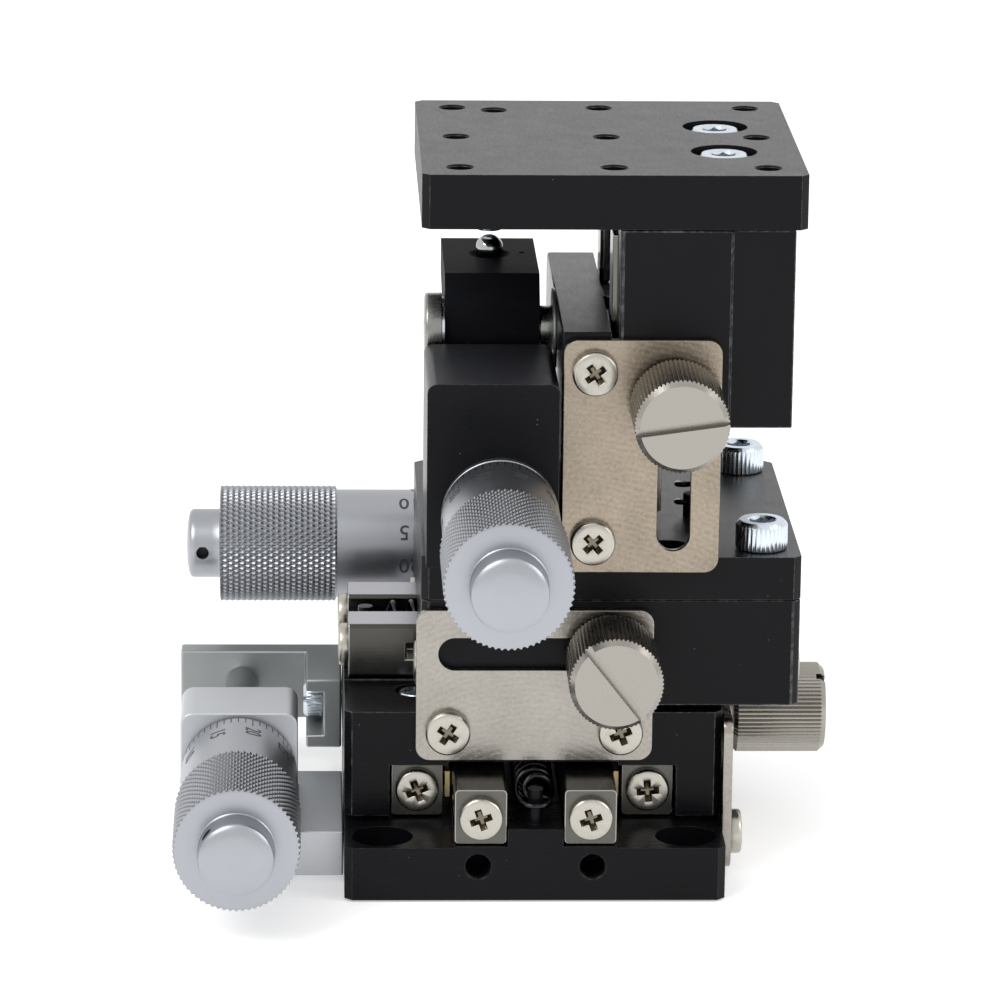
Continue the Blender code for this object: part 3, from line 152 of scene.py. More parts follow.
def rod(name, axis, centre, low, high, radius, sides=48, tip=None):
    """A round bar along an axis between two places on it; tip is its end's radius, if it tapers."""
    fresh()
    spot = Vector(centre)
    spot["XYZ".index(axis)] = (low + high) / 2
    turn = {"X": (0, QUARTER, 0), "Y": (-QUARTER, 0, 0), "Z": (0, 0, 0)}[axis]
    bpy.ops.mesh.primitive_cone_add(
        vertices=sides,
        radius1=radius * MM,
        radius2=(radius if tip is None else tip) * MM,
        depth=(high - low) * MM,
        location=spot * MM,
        rotation=turn,
    )
    return settle(name)


def traced(points):
    """Leaves an object in edit mode with a line through the points, drawn by extruding its end."""
    fresh()
    points = [Vector(point) * MM for point in points]
    bpy.ops.mesh.primitive_plane_add(size=MM, location=points[0])
    bpy.ops.object.mode_set(mode="EDIT")
    bpy.ops.mesh.select_mode(type="VERT")
    bpy.ops.mesh.select_all(action="SELECT")
    bpy.ops.mesh.merge(type="CENTER")
    for last, point in zip(points, points[1:]):
        bpy.ops.mesh.extrude_vertices_move(TRANSFORM_OT_translate={"value": point - last})
    bpy.ops.mesh.select_all(action="SELECT")


def tidy_faces():
    bpy.ops.mesh.select_all(action="SELECT")
    bpy.ops.mesh.remove_doubles(threshold=1e-7)
    bpy.ops.mesh.normals_make_consistent(inside=False)


def extruded(name, axis, outline, low, high, matrix=None):
    """A flat outline, given in the other two axes by turns, drawn out along an axis."""
    index = "XYZ".index(axis)

    def lift(u, v):
        point = [u, v]
        point.insert(index, low)
        return point

    traced([lift(u, v) for u, v in outline])
    bpy.ops.mesh.edge_face_add()
    way = Vector((0, 0, 0))
    way[index] = (high - low) * MM
    bpy.ops.mesh.extrude_region_move(TRANSFORM_OT_translate={"value": way})
    tidy_faces()
    return settle(name, matrix)


def turned(name, profile, steps=64, matrix=None):
    """A profile of (radius, place along +Y) spun about the Y axis."""
    traced([(radius, along, 0) for radius, along in profile])
    bpy.ops.mesh.spin(steps=steps, angle=TURN, center=(0, 0, 0), axis=(0, 1, 0))
    tidy_faces()
    return settle(name, matrix)


def modify(obj, kind, **settings):
    pick(obj)
    modifier = obj.modifiers.new(kind.lower(), kind)
    for key, value in settings.items():
        setattr(modifier, key, value)
    bpy.ops.object.modifier_apply(modifier=modifier.name)
    return obj


def drop(*objects):
    for obj in objects:
        bpy.data.objects.remove(obj, do_unlink=True)


def combine(obj, operation, others):
    for other in others:
        modify(obj, "BOOLEAN", operation=operation, object=other)
        drop(other)
    return obj


def carve(obj, *tools):
    return combine(obj, "DIFFERENCE", tools)


def weld(obj, *others):
    return combine(obj, "UNION", others)


def bevel_where(obj, test, width, segments=1):
    """Bevels the edges whose middle and direction pass a test, both given in millimetres."""
    pick(obj)
    bpy.ops.object.mode_set(mode="EDIT")
    bpy.ops.mesh.select_mode(type="EDGE")
    bpy.ops.mesh.select_all(action="DESELECT")
    mesh = bmesh.from_edit_mesh(obj.data)
    for edge in mesh.edges:
        a, b = (vert.co / MM for vert in edge.verts)
        edge.select_set(bool(test((a + b) / 2, (b - a).normalized())))
    bmesh.update_edit_mesh(obj.data)
    bpy.ops.mesh.bevel(offset=width * MM, segments=segments, profile=0.5, affect="EDGES")
    bpy.ops.object.mode_set(mode="OBJECT")
    return obj


def edges_along(axis):
    """A test for bevel_where that passes the edges along an axis."""
    index = "XYZ".index(axis)
    return lambda middle, way: abs(way[index]) > 0.9


def clean(obj):
    """Joins points that lie almost together, which a boolean can leave."""
    pick(obj)
    bpy.ops.object.mode_set(mode="EDIT")
    bpy.ops.mesh.select_all(action="SELECT")
    bpy.ops.mesh.remove_doubles(threshold=0.012 * MM)
    bpy.ops.mesh.dissolve_degenerate(threshold=0.004 * MM)
    bpy.ops.object.mode_set(mode="OBJECT")
    return obj


def soften(obj, width, segments=2, angle=35, smooth=40):
    """Rounds the sharp edges a little. The new faces get the second finish, if there is one."""
    clean(obj)
    index = 1 if len(obj.data.materials) > 1 else 0
    settings = {"width": width * MM, "segments": segments, "limit_method": "ANGLE", "material": index}
    modify(obj, "BEVEL", angle_limit=math.radians(angle), **settings)
    shade(obj, smooth)
    return modify(obj, "WEIGHTED_NORMAL", keep_sharp=True)


def repaint(obj, slot, test):
    """Gives a finish to the faces whose middle, in millimetres, and direction pass a test."""
    for face in obj.data.polygons:
        if test(face.center / MM, face.normal):
            face.material_index = slot
    return obj


def shade(obj, angle=40):
    pick(obj)
    bpy.ops.object.shade_smooth_by_angle(angle=math.radians(angle))
    return obj


def dress(obj, *looks):
    obj.data.materials.clear()
    for look in looks:
        obj.data.materials.append(look)
    return obj


def twin(obj, name, matrix=None):
    """A copy with its own mesh, moved by a matrix in millimetres."""
    copy = obj.copy()
    copy.data = obj.data.copy()
    bpy.context.scene.collection.objects.link(copy)
    copy.name = copy.data.name = name
    if matrix is not None:
        move(copy, matrix)
    return copy


def fit(obj, body, slot, *nodes):
    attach(obj, body)
    if nodes:
        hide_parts(*nodes)
    return obj


def finish_round(obj, look, body, slot, *nodes):
    """The last steps of a turned piece whose edges are already in its profile."""
    dress(obj, look)
    shade(obj, 35)
    return fit(obj, body, slot, *nodes)


def finish_soft(obj, look, rounding, body, slot, *nodes):
    """The last steps of a piece with rounded edges. rounding is soften's width, segments and angle."""
    dress(obj, look)
    soften(obj, *rounding)
    return fit(obj, body, slot, *nodes)


def shift(x, y, z):
    return Matrix.Translation((x, y, z))


def ring(inner, outer, low, high):
    """The profile of a plain ring."""
    return [(inner, low), (outer, low), (outer, high), (inner, high), (inner, low)]


def arc_steps(start, stop, count):
    """Angles in radians, even from start to stop, which are in degrees."""
    return [math.radians(start + (stop - start) * i / count) for i in range(count + 1)]


def ball(name, radius, segments):
    """A sphere at the place of the crank's ball."""
    fresh()
    bpy.ops.mesh.primitive_uv_sphere_add(
        segments=segments, ring_count=segments // 2, radius=radius * MM, location=BALL_PLACE
    )
    return settle(name)


# Finishes


class Field:
    """A value that varies over a surface. The usual operators add Math nodes."""

    def __init__(self, look, socket):
        self.look, self.socket = look, socket

    def maths(self, operation, *values):
        inputs = dict(enumerate((self, *values)))
        node = self.look.node("ShaderNodeMath", {"operation": operation}, inputs)
        return Field(self.look, node.outputs[0])

    def __add__(self, other):
        return self.maths("ADD", other)

    def __sub__(self, other):
        return self.maths("SUBTRACT", other)

    def __mul__(self, other):
        return self.maths("MULTIPLY", other)

    def __truediv__(self, other):
        return self.maths("DIVIDE", other)

    def __pow__(self, other):
        return self.maths("POWER", other)

    __radd__, __rmul__ = __add__, __mul__

    def above(self, other):
        return self.maths("GREATER_THAN", other)

    def below(self, other):
        return self.maths("LESS_THAN", other)

    def size(self):
        return self.maths("ABSOLUTE")

    def least(self, other):
        return self.maths("MINIMUM", other)

    def most(self, other):
        return self.maths("MAXIMUM", other)

    def ramp(self, low, high):
        """0 below low, 1 above high and even in between."""
        return ((self - low) / (high - low)).most(0).least(1)

    def centred(self, start):
        """How far the value plus start is past a whole number, less a half."""
        return (self + start).maths("FRACT") - 0.5


class Look:
    """A material with its shader and its own nodes."""

    def __init__(self, name, colour, roughness, metallic=1.0, ior=1.5):
        self.material = bpy.data.materials.new(name)
        self.material.use_nodes = True
        self.tree = self.material.node_tree
        self.shader = self.tree.nodes["Principled BSDF"]
        self.shader.inputs["Base Color"].default_value = (*colour, 1)
        self.shader.inputs["Roughness"].default_value = roughness
        self.shader.inputs["Metallic"].default_value = metallic
        self.shader.inputs["IOR"].default_value = ior
        self.coordinates = self.node("ShaderNodeTexCoord").outputs["Object"]

    def node(self, kind, settings=None, inputs=None):
        made = self.tree.nodes.new(kind)
        for key, value in (settings or {}).items():
            setattr(made, key, value)
        for key, value in (inputs or {}).items():
            self.feed(made.inputs[key], value)
        return made

    def feed(self, socket, value):
        """Links a field or another node's output to an input, or writes a plain value there."""
        if isinstance(value, Field):
            value = value.socket
        if isinstance(value, bpy.types.NodeSocket):
            self.tree.links.new(value, socket)
        else:
            socket.default_value = value

    def along(self, axis):
        """The place along an axis, in millimetres."""
        split = self.node("ShaderNodeSeparateXYZ", None, {0: self.coordinates})
        return Field(self, split.outputs["XYZ".index(axis)]) * 1000

    def stretched(self, scales, shift_by=0.0):
        """The place on the object as a texture's vector, scaled and shifted."""
        inputs = {"Vector": self.coordinates, "Scale": scales, "Location": (shift_by,) * 3}
        return self.node("ShaderNodeMapping", {"vector_type": "POINT"}, inputs).outputs[0]

    def noise(self, grain, detail=3.0, rough=0.55, stretch=(1, 1, 1), shift_by=0.0):
        """Noise whose features are about grain millimetres across."""
        vector = self.stretched([value * 1000 / grain for value in stretch], shift_by)
        inputs = {"Vector": vector, "Scale": 1.0, "Detail": detail, "Roughness": rough}
        return Field(self, self.node("ShaderNodeTexNoise", None, inputs).outputs[0])

    def specks(self, grain, size):
        """Small round specks, some of them left out."""
        inputs = {"Vector": self.stretched((1000 / grain,) * 3), "Scale": 1.0}
        cells = self.node("ShaderNodeTexVoronoi", None, inputs)
        dots = Field(self, cells.outputs["Distance"]).below(size / grain)
        chosen = self.node("ShaderNodeSeparateColor", None, {0: cells.outputs["Color"]})
        return dots * Field(self, chosen.outputs[0]).above(0.62)

    def mix(self, share, first, second):
        """A colour that goes from the first to the second as share goes from 0 to 1."""
        made = self.node("ShaderNodeMix", {"data_type": "RGBA"})
        for name, value in (("Factor", share), ("A", first), ("B", second)):
            socket = next(s for s in made.inputs if s.name == name and s.enabled)
            self.feed(socket, (*value, 1) if isinstance(value, tuple) else value)
        return next(s for s in made.outputs if s.enabled)

    def set(self, name, value):
        self.feed(self.shader.inputs[name], value)

    def bump(self, height, depth, strength=1.0):
        """Bump whose height, from 0 to 1, stands for depth millimetres."""
        inputs = {"Height": height, "Distance": depth * MM, "Strength": strength}
        self.set("Normal", self.node("ShaderNodeBump", None, inputs).outputs[0])


def dimmed(colour, share):
    return tuple(value * share for value in colour)


def black_anodised(name, roughness=0.3, stretch=(1, 1, 1), lift=1.0, ior=1.22):
    dark = (0.0028 * lift, 0.0029 * lift, 0.0036 * lift)
    pale = (0.0062 * lift, 0.0064 * lift, 0.008 * lift)
    look = Look(name, dark, roughness, 0.0, ior)
    cloud = look.noise(3.0, 3)
    lines = look.noise(0.28, 2, 0.6, stretch, 3.0)
    dust = look.specks(1.3, 0.045)
    dye = look.mix(cloud * 0.6 + lines * 0.4, dark, pale)
    look.set("Base Color", look.mix(dust * 0.75, dye, (0.3, 0.3, 0.31)))
    look.set("Roughness", cloud * 0.1 + lines * 0.12 + (roughness - 0.11) + dust * 0.3)
    look.bump(lines * 0.7 + look.noise(0.07, 2, 0.5, shift_by=9.0) * 0.3, 0.006)
    return look.material


# The finish of the black plates' rounded edges: a lighter grey in blotches, which is a painted
# highlight along each edge.
def anodised_edge():
    look = Look("black_anodised_edge_highlight", (0.05, 0.05, 0.055), 0.28, 0.0, 1.4)
    rub = look.noise(0.7, 3).ramp(0.45, 0.7)
    look.set("Base Color", look.mix(rub, (0.008, 0.008, 0.01), (0.09, 0.09, 0.095)))
    return look.material


def clear_anodised(name, colour):
    roughness = 0.4
    look = Look(name, colour, roughness, 0.9)
    blast = look.noise(0.1, 2, 0.6)
    cloud = look.noise(2.6, 3, shift_by=5.0)
    look.set("Base Color", look.mix(cloud * 0.7 + blast * 0.3, dimmed(colour, 0.9), colour))
    look.set("Roughness", blast * 0.1 + cloud * 0.06 + (roughness - 0.08))
    look.bump(blast, 0.008, 0.8)
    return look.material


def around(look, axis, centre):
    """The two distances from an axis that a turned piece's pattern needs."""
    first, second = {"X": ("Y", "Z"), "Y": ("Z", "X"), "Z": ("X", "Y")}[axis]
    places = dict(zip("XYZ", centre))
    return look.along(first) - places[first], look.along(second) - places[second]


def bearing(look, axis, centre):
    """The angle round an axis along X or Y, from straight up."""
    u, v = around(look, axis, centre)
    return v.maths("ARCTAN2", u) if axis == "Y" else (u * -1).maths("ARCTAN2", v)


def satin_steel(name, axis):
    """Satin chrome with fine lines round its axis."""
    colour = (0.4, 0.412, 0.442)
    look = Look(name, colour, 0.36)
    stretch = [0.05, 0.05, 0.05]
    stretch["XYZ".index(axis)] = 1.0
    rings = look.noise(0.09, 2, 0.6, stretch)
    cloud = look.noise(2.2, 3, shift_by=4.0)
    look.set("Base Color", look.mix(rings * 0.5 + cloud * 0.5, dimmed(colour, 0.88), colour))
    look.set("Roughness", rings * 0.1 + cloud * 0.08 + 0.27)
    look.bump(rings, 0.004, 0.7)
    return look


def graduated(name, axis, centre, edge, way, first_angle):
    """A thimble's satin steel with its fifty divisions. edge is the skirt's edge along the axis, way is
    the side that the thimble lies on, and first_angle is where its zero stands."""
    look = satin_steel(name, axis)
    angle = bearing(look, axis, centre)
    share = angle / TURN - first_angle / 360
    from_edge = (look.along(axis) - edge) * way
    half_width = 0.055 / (TURN * SKIRT_RADIUS)
    marks = []
    for count, reach in ((DIVISIONS, 1.6), (DIVISIONS // 5, 2.4)):
        off_mark = (share * count).centred(100.5).size() / count
        marks.append(off_mark.below(half_width) * from_edge.below(reach))
    paint(look, marks[0].most(marks[1]) * from_edge.above(-0.05))
    # The knurl's pits are painted darker than the steel: painted shade between the diamonds.
    around_share = angle / TURN * KNURL_TEETH
    along_share = (from_edge - GRIP_START) / KNURL_PITCH
    crests = []
    for sum_of in (around_share + along_share, around_share - along_share):
        crests.append(sum_of.centred(200).size() * 2)
    pit = (crests[0].least(crests[1]) * -1 + 1).ramp(0.45, 1.0)
    knurled = from_edge.above(12.7) * from_edge.below(25.75)
    base = look.shader.inputs["Base Color"].links[0].from_socket
    look.set("Base Color", look.mix(pit * knurled * 0.45, base, (0.06, 0.062, 0.07)))
    return look.material


def paint(look, marks):
    """Dark ink on what is already there."""
    base = look.shader.inputs["Base Color"].links[0].from_socket
    rough = look.shader.inputs["Roughness"].links[0].from_socket
    look.set("Base Color", look.mix(marks, base, (0.05, 0.05, 0.055)))
    look.set("Roughness", Field(look, rough) + marks * 0.25)


def scaled_sleeve(name, axis, centre, start, way, angle_at):
    """A sleeve with its long line and half-millimetre marks, from start towards the thimble."""
    look = satin_steel(name, axis)
    away = (bearing(look, axis, centre) / TURN - angle_at / 360).centred(100.5)
    arc = away * (TURN * SLEEVE_RADIUS)
    place = (look.along(axis) - start) * way
    line = arc.size().below(0.05)
    upper = place.centred(100.5).size().below(0.045) * arc.above(0) * arc.below(1.1)
    lower = place.centred(100).size().below(0.045) * arc.below(0) * arc.above(-1.1)
    fives = (place / 5).centred(100.5).size().below(0.009) * arc.above(0) * arc.below(1.7)
    marks = line.most(upper).most(lower).most(fives) * place.above(-0.06) * place.below(13.1)
    paint(look, marks)
    return look.material


def nickel_sheet(name, axes, pale, deep):
    """Rolled sheet with a mottled sheen and faint rubbed curves."""
    look = Look(name, pale, 0.3)
    mottle = look.noise(0.42, 4, 0.66)
    patch = look.noise(4.5, 3, shift_by=6.0)
    a, b = look.along(axes[0]), look.along(axes[1])
    rub = ((a * a + b * b) ** 0.5 / 0.1 + look.noise(1.6, 3) * 9.0).maths("SINE") * 0.5 + 0.5
    blend = mottle * 0.6 + patch * 0.33 + rub * 0.07
    look.set("Base Color", look.mix(blend.ramp(0.36, 0.66), deep, pale))
    look.set("Roughness", mottle * 0.14 + patch * 0.1 + rub * 0.04 + 0.1)
    look.bump(mottle * 0.88 + rub * 0.12, 0.018, 0.9)
    return look.material


def turned_nickel(name, axis, centre):
    """Nickel steel with the rings that a lathe leaves on a face."""
    colour = (0.37, 0.35, 0.315)
    look = Look(name, colour, 0.28)
    u, v = around(look, axis, centre)
    radius = (u * u + v * v) ** 0.5
    inputs = {"X": radius.socket, "Y": 0.0, "Z": 0.0}
    vector = look.node("ShaderNodeCombineXYZ", None, inputs).outputs[0]
    inputs = {"Vector": vector, "Scale": 9.0, "Detail": 2.0}
    rings = Field(look, look.node("ShaderNodeTexNoise", None, inputs).outputs[0])
    cloud = look.noise(1.4, 3)
    look.set("Base Color", look.mix(rings * 0.5 + cloud * 0.5, dimmed(colour, 0.82), colour))
    look.set("Roughness", rings * 0.1 + cloud * 0.12 + 0.17)
    look.bump(rings, 0.008, 0.7)
    return look.material


def plated(name, colour, roughness, grain=0.6):
    look = Look(name, colour, roughness)
    cloud = look.noise(grain, 3)
    fine = look.noise(0.12, 2, shift_by=2.0)
    tint = tuple(value * share for value, share in zip(colour, (0.8, 0.84, 0.88)))
    look.set("Base Color", look.mix(cloud, tint, colour))
    look.set("Roughness", cloud * 0.14 + fine * 0.08 + (roughness - 0.1))
    look.bump(fine * 0.6 + cloud * 0.4, 0.005, 0.7)
    return look.material


def ground_steel(name, colour, roughness, stretch):
    """Rail steel with grinding lines along the rail."""
    look = Look(name, colour, roughness)
    lines = look.noise(0.16, 3, 0.65, stretch)
    cloud = look.noise(1.8, 3, shift_by=2.0)
    look.set("Base Color", look.mix(lines * 0.6 + cloud * 0.4, dimmed(colour, 0.62), colour))
    look.set("Roughness", lines * 0.16 + cloud * 0.08 + (roughness - 0.1))
    look.bump(lines, 0.006, 0.8)
    return look.material


BLACK = {
    "flat": black_anodised("black_anodised", 0.3, (1, 1, 1)),
    "lined_x": black_anodised("black_anodised_lined_x", 0.29, (0.06, 1, 1)),
    "lined_z": black_anodised("black_anodised_lined_z", 0.29, (1, 1, 0.06)),
    "matt": black_anodised("black_anodised_matt", 0.36, (1, 0.15, 1), 1.0),
    # The next three are lighter copies, with more shine, that only the upper faces get: painted light
    # on those faces.
    "top": black_anodised("black_anodised_lit_top", 0.34, (1, 0.15, 1), 1.25, 1.42),
    "wall": black_anodised("black_anodised_lit_wall_top", 0.34, (1, 0.15, 1), 1.25, 1.62),
    "lit_holder_top": black_anodised("black_anodised_grained", 0.42, (1, 1, 1), 3.5, 1.42),
    "gloss": black_anodised("black_anodised_gloss", 0.24, (1, 0.1, 1), 0.8),
    "dull": black_anodised("black_anodised_dull", 0.46, (0.1, 1, 1), 2.0, 1.07),
}
# EDGE is the painted edge highlight that soften puts on the black plates' rounded edges.
EDGE = anodised_edge()
CLEAR = clear_anodised("clear_anodised", (0.58, 0.595, 0.622))
# The anvils' clear anodising is darker than the holders': painted shade on the anvils, which stand
# further back. The crank's spacer flange uses it too.
ANVIL = clear_anodised("anvil_anodised", (0.36, 0.378, 0.376))
SCREW_NICKEL = plated("screw_nickel", (0.52, 0.485, 0.42), 0.28)
ZINC = plated("zinc_screw", (0.72, 0.77, 0.82), 0.22)
POLISHED = plated("polished_steel", (0.7, 0.7, 0.7), 0.13)
CHROME = plated("chrome_ball", (0.5, 0.5, 0.5), 0.12)
# A light steel grey for the crank's rounded edges: a painted highlight along them.
CRANK_EDGE_HIGHLIGHT = plated("crank_edge_highlight", (0.3, 0.3, 0.31), 0.4)
PIVOT_STEEL = plated("pivot_steel", (0.3, 0.295, 0.27), 0.26)
RAIL_END = plated("rail_end", (0.13, 0.125, 0.108), 0.3)
# Lit and shaded copies of one ground rail steel: the X rails' tops get a pale copy, which is painted
# light, and their sides a darker one, which is painted shade. The Y and Z rails keep their sides' tone
# on their tops too.
RAIL_SIDE = {
    "X": ground_steel("rail_side_x_painted_shade", (0.1, 0.098, 0.09), 0.22, (0.05, 1, 1)),
    "Y": ground_steel("rail_side_y", (0.17, 0.165, 0.15), 0.2, (1, 0.05, 1)),
    "Z": ground_steel("rail_side_z", (0.17, 0.165, 0.15), 0.2, (1, 1, 0.05)),
}
# A light steel for the rails' rounded edges: a painted highlight along them.
RAIL_EDGE_HIGHLIGHT = plated("rail_edge_highlight", (0.4, 0.39, 0.36), 0.24)
LIT_RAIL_TOP = ground_steel("rail_top_painted_light", (0.5, 0.5, 0.54), 0.3, (0.05, 1, 1))
# A dark bronze for the insides of cross recesses and knob slots: painted shade in them.
RECESS_SHADE = plated("screw_recess_painted_shade", (0.2, 0.17, 0.125), 0.24, 0.3)
BRASS = plated("cage_brass", (0.68, 0.52, 0.26), 0.34)
SPRING = plated("spring_wire", (0.035, 0.035, 0.037), 0.2)
# Dark ink for the dial numbers. It is also put into the spanner holes' bores as painted shade.
INK_AND_BORE_SHADE = plated("dial_ink_and_bore_shade", (0.04, 0.04, 0.045), 0.5)
INK_AND_BORE_SHADE.node_tree.nodes["Principled BSDF"].inputs["Metallic"].default_value = 0.0


# Plates


def hole(axis, centre, mouth, bottom, radius, sides=40):
    """A hole's cutter, from a little before its mouth to its bottom."""
    before = mouth + math.copysign(0.6, mouth - bottom)
    low, high = sorted((before, bottom))
    return rod("tool", axis, centre, low, high, radius, sides)


def plate(name, low, high):
    return bevel_where(block(name, low, high), edges_along("Z"), PLATE_CORNER)


def post(x, y, low, high, radius=0.8):
    """A spring's post."""
    return rod("post", "Z", (x, y, 0), low, high, radius, 24)


def finish_plate(obj, look, body, nodes, width=0.16, lit_top_finish=None, segments=2):
    """The optional last finish is a lighter copy of the plate's own, with more shine, for its upper
    faces: painted light on them.
    """
    dress(obj, look, EDGE, *([lit_top_finish] if lit_top_finish else []))
    soften(obj, width, segments, 35)
    if lit_top_finish:
        # The upper faces get the lighter copy: painted light on them.
        repaint(obj, 2, lambda m, n: n.z > 0.95)
    return fit(obj, body, "black_anodised", *nodes)


def rail_seats(matrix):
    """The seats and the rib that carry a layer's fixed rails."""
    outline = [(-8.5, 5.0), (8.5, 5.0), (8.5, 5.9), (2.9, 5.9), (2.9, 7.8), (-2.9, 7.8)]
    outline += [(-2.9, 5.9), (-8.5, 5.9)]
    return extruded("seats", "Y", outline, -20, 20, matrix)


def rail_pocket(matrix, length):
    """The cutter of the room that a moving block has for its rails."""
    outline = [(-15.2, 4.5), (15.2, 4.5), (15.2, 12.1), (9, 12.1), (9, 12.5), (-9, 12.5)]
    outline += [(-9, 12.1), (-15.2, 12.1)]
    return extruded("tool", "Y", outline, -length / 2 - 2, length / 2 + 2, matrix)


def make_base():
    base = plate("base_plate_body", (-20, -20, 0), (20, 20, 5.75))
    weld(base, rail_seats(Y_LAYER))
    for x in (-16, 16):
        for y in (-16, 16):
            carve(base, hole("Z", (x, y, 0), 5.75, 2.45, 3.25), hole("Z", (x, y, 0), 5.75, -1, 1.7))
    for x in (-6, 6):
        carve(base, hole("Y", (x, 0, 3.7), -20, -14, 1.27))
        carve(base, rod("tool", "Y", (x, 0, 3.7), -20.6, -19.72, 1.95, 40, 1.2))
    weld(base, post(0, Y_POSTS[0], 7, 11.6))
    finish_plate(base, BLACK["lined_x"], "base", ("base_plate",))


def make_middle():
    carriage = plate("y_carriage_body", (-20, -11.5, 6.5), (20, 28.5, 18))
    carve(carriage, rail_pocket(shift(0, Y_OFFSET, 0), 40))
    weld(carriage, rail_seats(X_LAYER))
    for x, y in FIXING_PLACES:
        carve(carriage, hole("Z", (x, y, 0), 18, 14.8, 2.3))
    carve(carriage, hole("X", (0, Y_OFFSET, KNOB_HEIGHT), 20, 16, 1.6))
    weld(carriage, post(X_POSTS[0], 8.5, 19.5, 23.9))
    weld(carriage, post(0, Y_POSTS[1], 9.8, 13.5))
    finish_plate(carriage, BLACK["lined_x"], "y_stage", ("y_carriage",), 0.07)


def make_upper():
    table = plate("x_table_body", (-12, -11.5, 18.75), (28, 28.5, 30.25))
    carve(table, rail_pocket(X_LAYER @ shift(0, X_OFFSET, 0), 40))
    carve(table, hole("Y", (8, 0, 24.7), -11.5, -7.5, 1.6))
    finish_plate(table, BLACK["lined_x"], "x_stage", ("x_table",))
    stand = plate("z_base_plate_body", (-12, -11.5, 30.35), (28, 28.5, 35))
    weld(stand, post(Z_SPRING_X, Z_SPRING_Y, 34, 37.6, 1.0))
    for x, y in Z_PLATE_SCREWS:
        carve(stand, hole("Z", (x, y, 0), 35, 29, 1.7))
    carve(stand, hole("Z", (14, -7.5, 0), 35, 32, 2.8))
    finish_plate(stand, BLACK["flat"], "x_stage", ("z_base_plate",), lit_top_finish=BLACK["top"])


def make_wall():
    wall = block("z_wall_body", (2.5, -11.5, 35.1), (7.6, 28.5, 59.2))
    bevel_where(wall, lambda m, w: abs(w.x) > 0.9 and m.y > 28 and m.z > 59, 1.5)
    bevel_where(wall, lambda m, w: m.x < 7.5, 0.3, 3)
    weld(wall, block("seats", (7, 0, 36.8), (7.75, 17, 57.8)))
    finish_plate(wall, BLACK["gloss"], "x_stage", ("z_wall",), 0.06, BLACK["wall"])


def make_z_carriage():
    carriage = block("z_carriage_body", (8.35, -11.5, 48.9), (26.6, 28.5, 70))
    bevel_where(carriage, edges_along("Z"), 0.3)
    carve(carriage, rail_pocket(Z_LAYER @ shift(0, Z_OFFSET, 0), 21.1))
    carve(carriage, block("tool", (20, -13, 40), (27, -11.1, 80)))
    carve(carriage, hole("Z", (Z_SPRING_X, Z_SPRING_Y, 0), 48.9, 57.9, 2.5))
    carve(carriage, hole("Y", (14.3, 0, 52.2), -11.5, -7.5, 1.6))
    finish_plate(carriage, BLACK["lined_z"], "z_stage", ("z_carriage",))


def make_top():
    top = plate("top_plate_body", (-12.2, -11.5, 70.1), (27.8, 28.5, 75.85))
    threaded = [(0, 69), (1.3, 69), (1.3, 75.65), (2.05, 76.4), (0, 76.4)]
    places = [(column * 16, row * 16) for column in (-1, 0, 1) for row in (-1, 0, 1)]
    for x, y in [*places, (-11.5, 14.6)]:
        carve(top, turned("tool", threaded, 36, shift(7.8 + x, 8.5 + y, 0) @ TO_UP))
    for place in TOP_SCREWS:
        spot = (*place, 0)
        carve(top, hole("Z", spot, 75.85, 72.55, 3.5, 56), hole("Z", spot, 75.85, 69, 1.7))
    finish_plate(top, BLACK["matt"], "z_stage", ("top_plate",), 0.2, BLACK["top"])


# Guides

# How far each cross recess that shows is turned, in degrees
CROSSES = {
    "y_rail_outer_left_bar_screw_1": 22,
    "y_rail_inner_left_bar_screw_1": 19,
    "y_rail_inner_right_bar_screw_1": 19,
    "y_rail_outer_right_bar_screw_1": 5,
    "x_clamp_screw_1": 57,
    "x_clamp_screw_2": 22,
    "z_clamp_screw_1": 36,
    "z_clamp_screw_2": 42,
}


def rail_screw(name, source, matrix, x, y, end, body):
    """A cross-recessed screw on a rail's end, which faces back along the rail where end is -1."""
    turn = Matrix.Rotation(math.radians(CROSSES.get(name, random.uniform(0, 90))), 4, "Y")
    face = Matrix.Rotation(math.pi, 4, "Z") if end < 0 else Matrix.Identity(4)
    fit(twin(source, name, matrix @ shift(x, y, RAIL_MIDDLE) @ face @ turn), body, "nickel_plate")


def rail(node, matrix, axis, side, outer, middle, length, body, screw):
    """A ground rail with its V groove and its two end screws, in a layer's frame."""
    name = f"{node}_bar"
    back = side * (OUTER_RAIL_BACK if outer else INNER_RAIL_BACK)
    way = -side if outer else side
    low, high = middle - length / 2, middle + length / 2
    first, last = sorted((back, back + way * RAIL_WIDTH))
    obj = block(name, (first, low, RAIL_LOW), (last, high, RAIL_HIGH))
    bevel_where(obj, edges_along("Y"), 0.5, 4)
    stop = GROOVE_STOPS[axis]
    groove = [(back + way * u, v) for u, v in ((4.5, 9), (5.7, 7.8), (5.7, 10.2))]
    carve(obj, extruded("tool", "Y", groove, low + stop, high - stop))
    move(obj, matrix)
    dress(obj, RAIL_SIDE[axis], RAIL_EDGE_HIGHLIGHT, RAIL_END, LIT_RAIL_TOP)
    tip = matrix.to_3x3() @ Vector((0, 1, 0))
    # soften gives the rounded edges the light edge steel: a painted highlight.
    soften(obj, 0.13, 2, 30)
    repaint(obj, 2, lambda m, n: abs(n.dot(tip)) > 0.98)
    # The X rails' upper faces get the pale copy: painted light.
    if axis == "X":
        repaint(obj, 3, lambda m, n: n.z > 0.98)
    fit(obj, body, "rail_steel", node)
    centre = back + way * RAIL_WIDTH / 2
    for number, end in enumerate((-1, 1), 1):
        place = middle + end * length / 2
        rail_screw(f"{name}_screw_{number}", screw, matrix, centre, place, end, body)


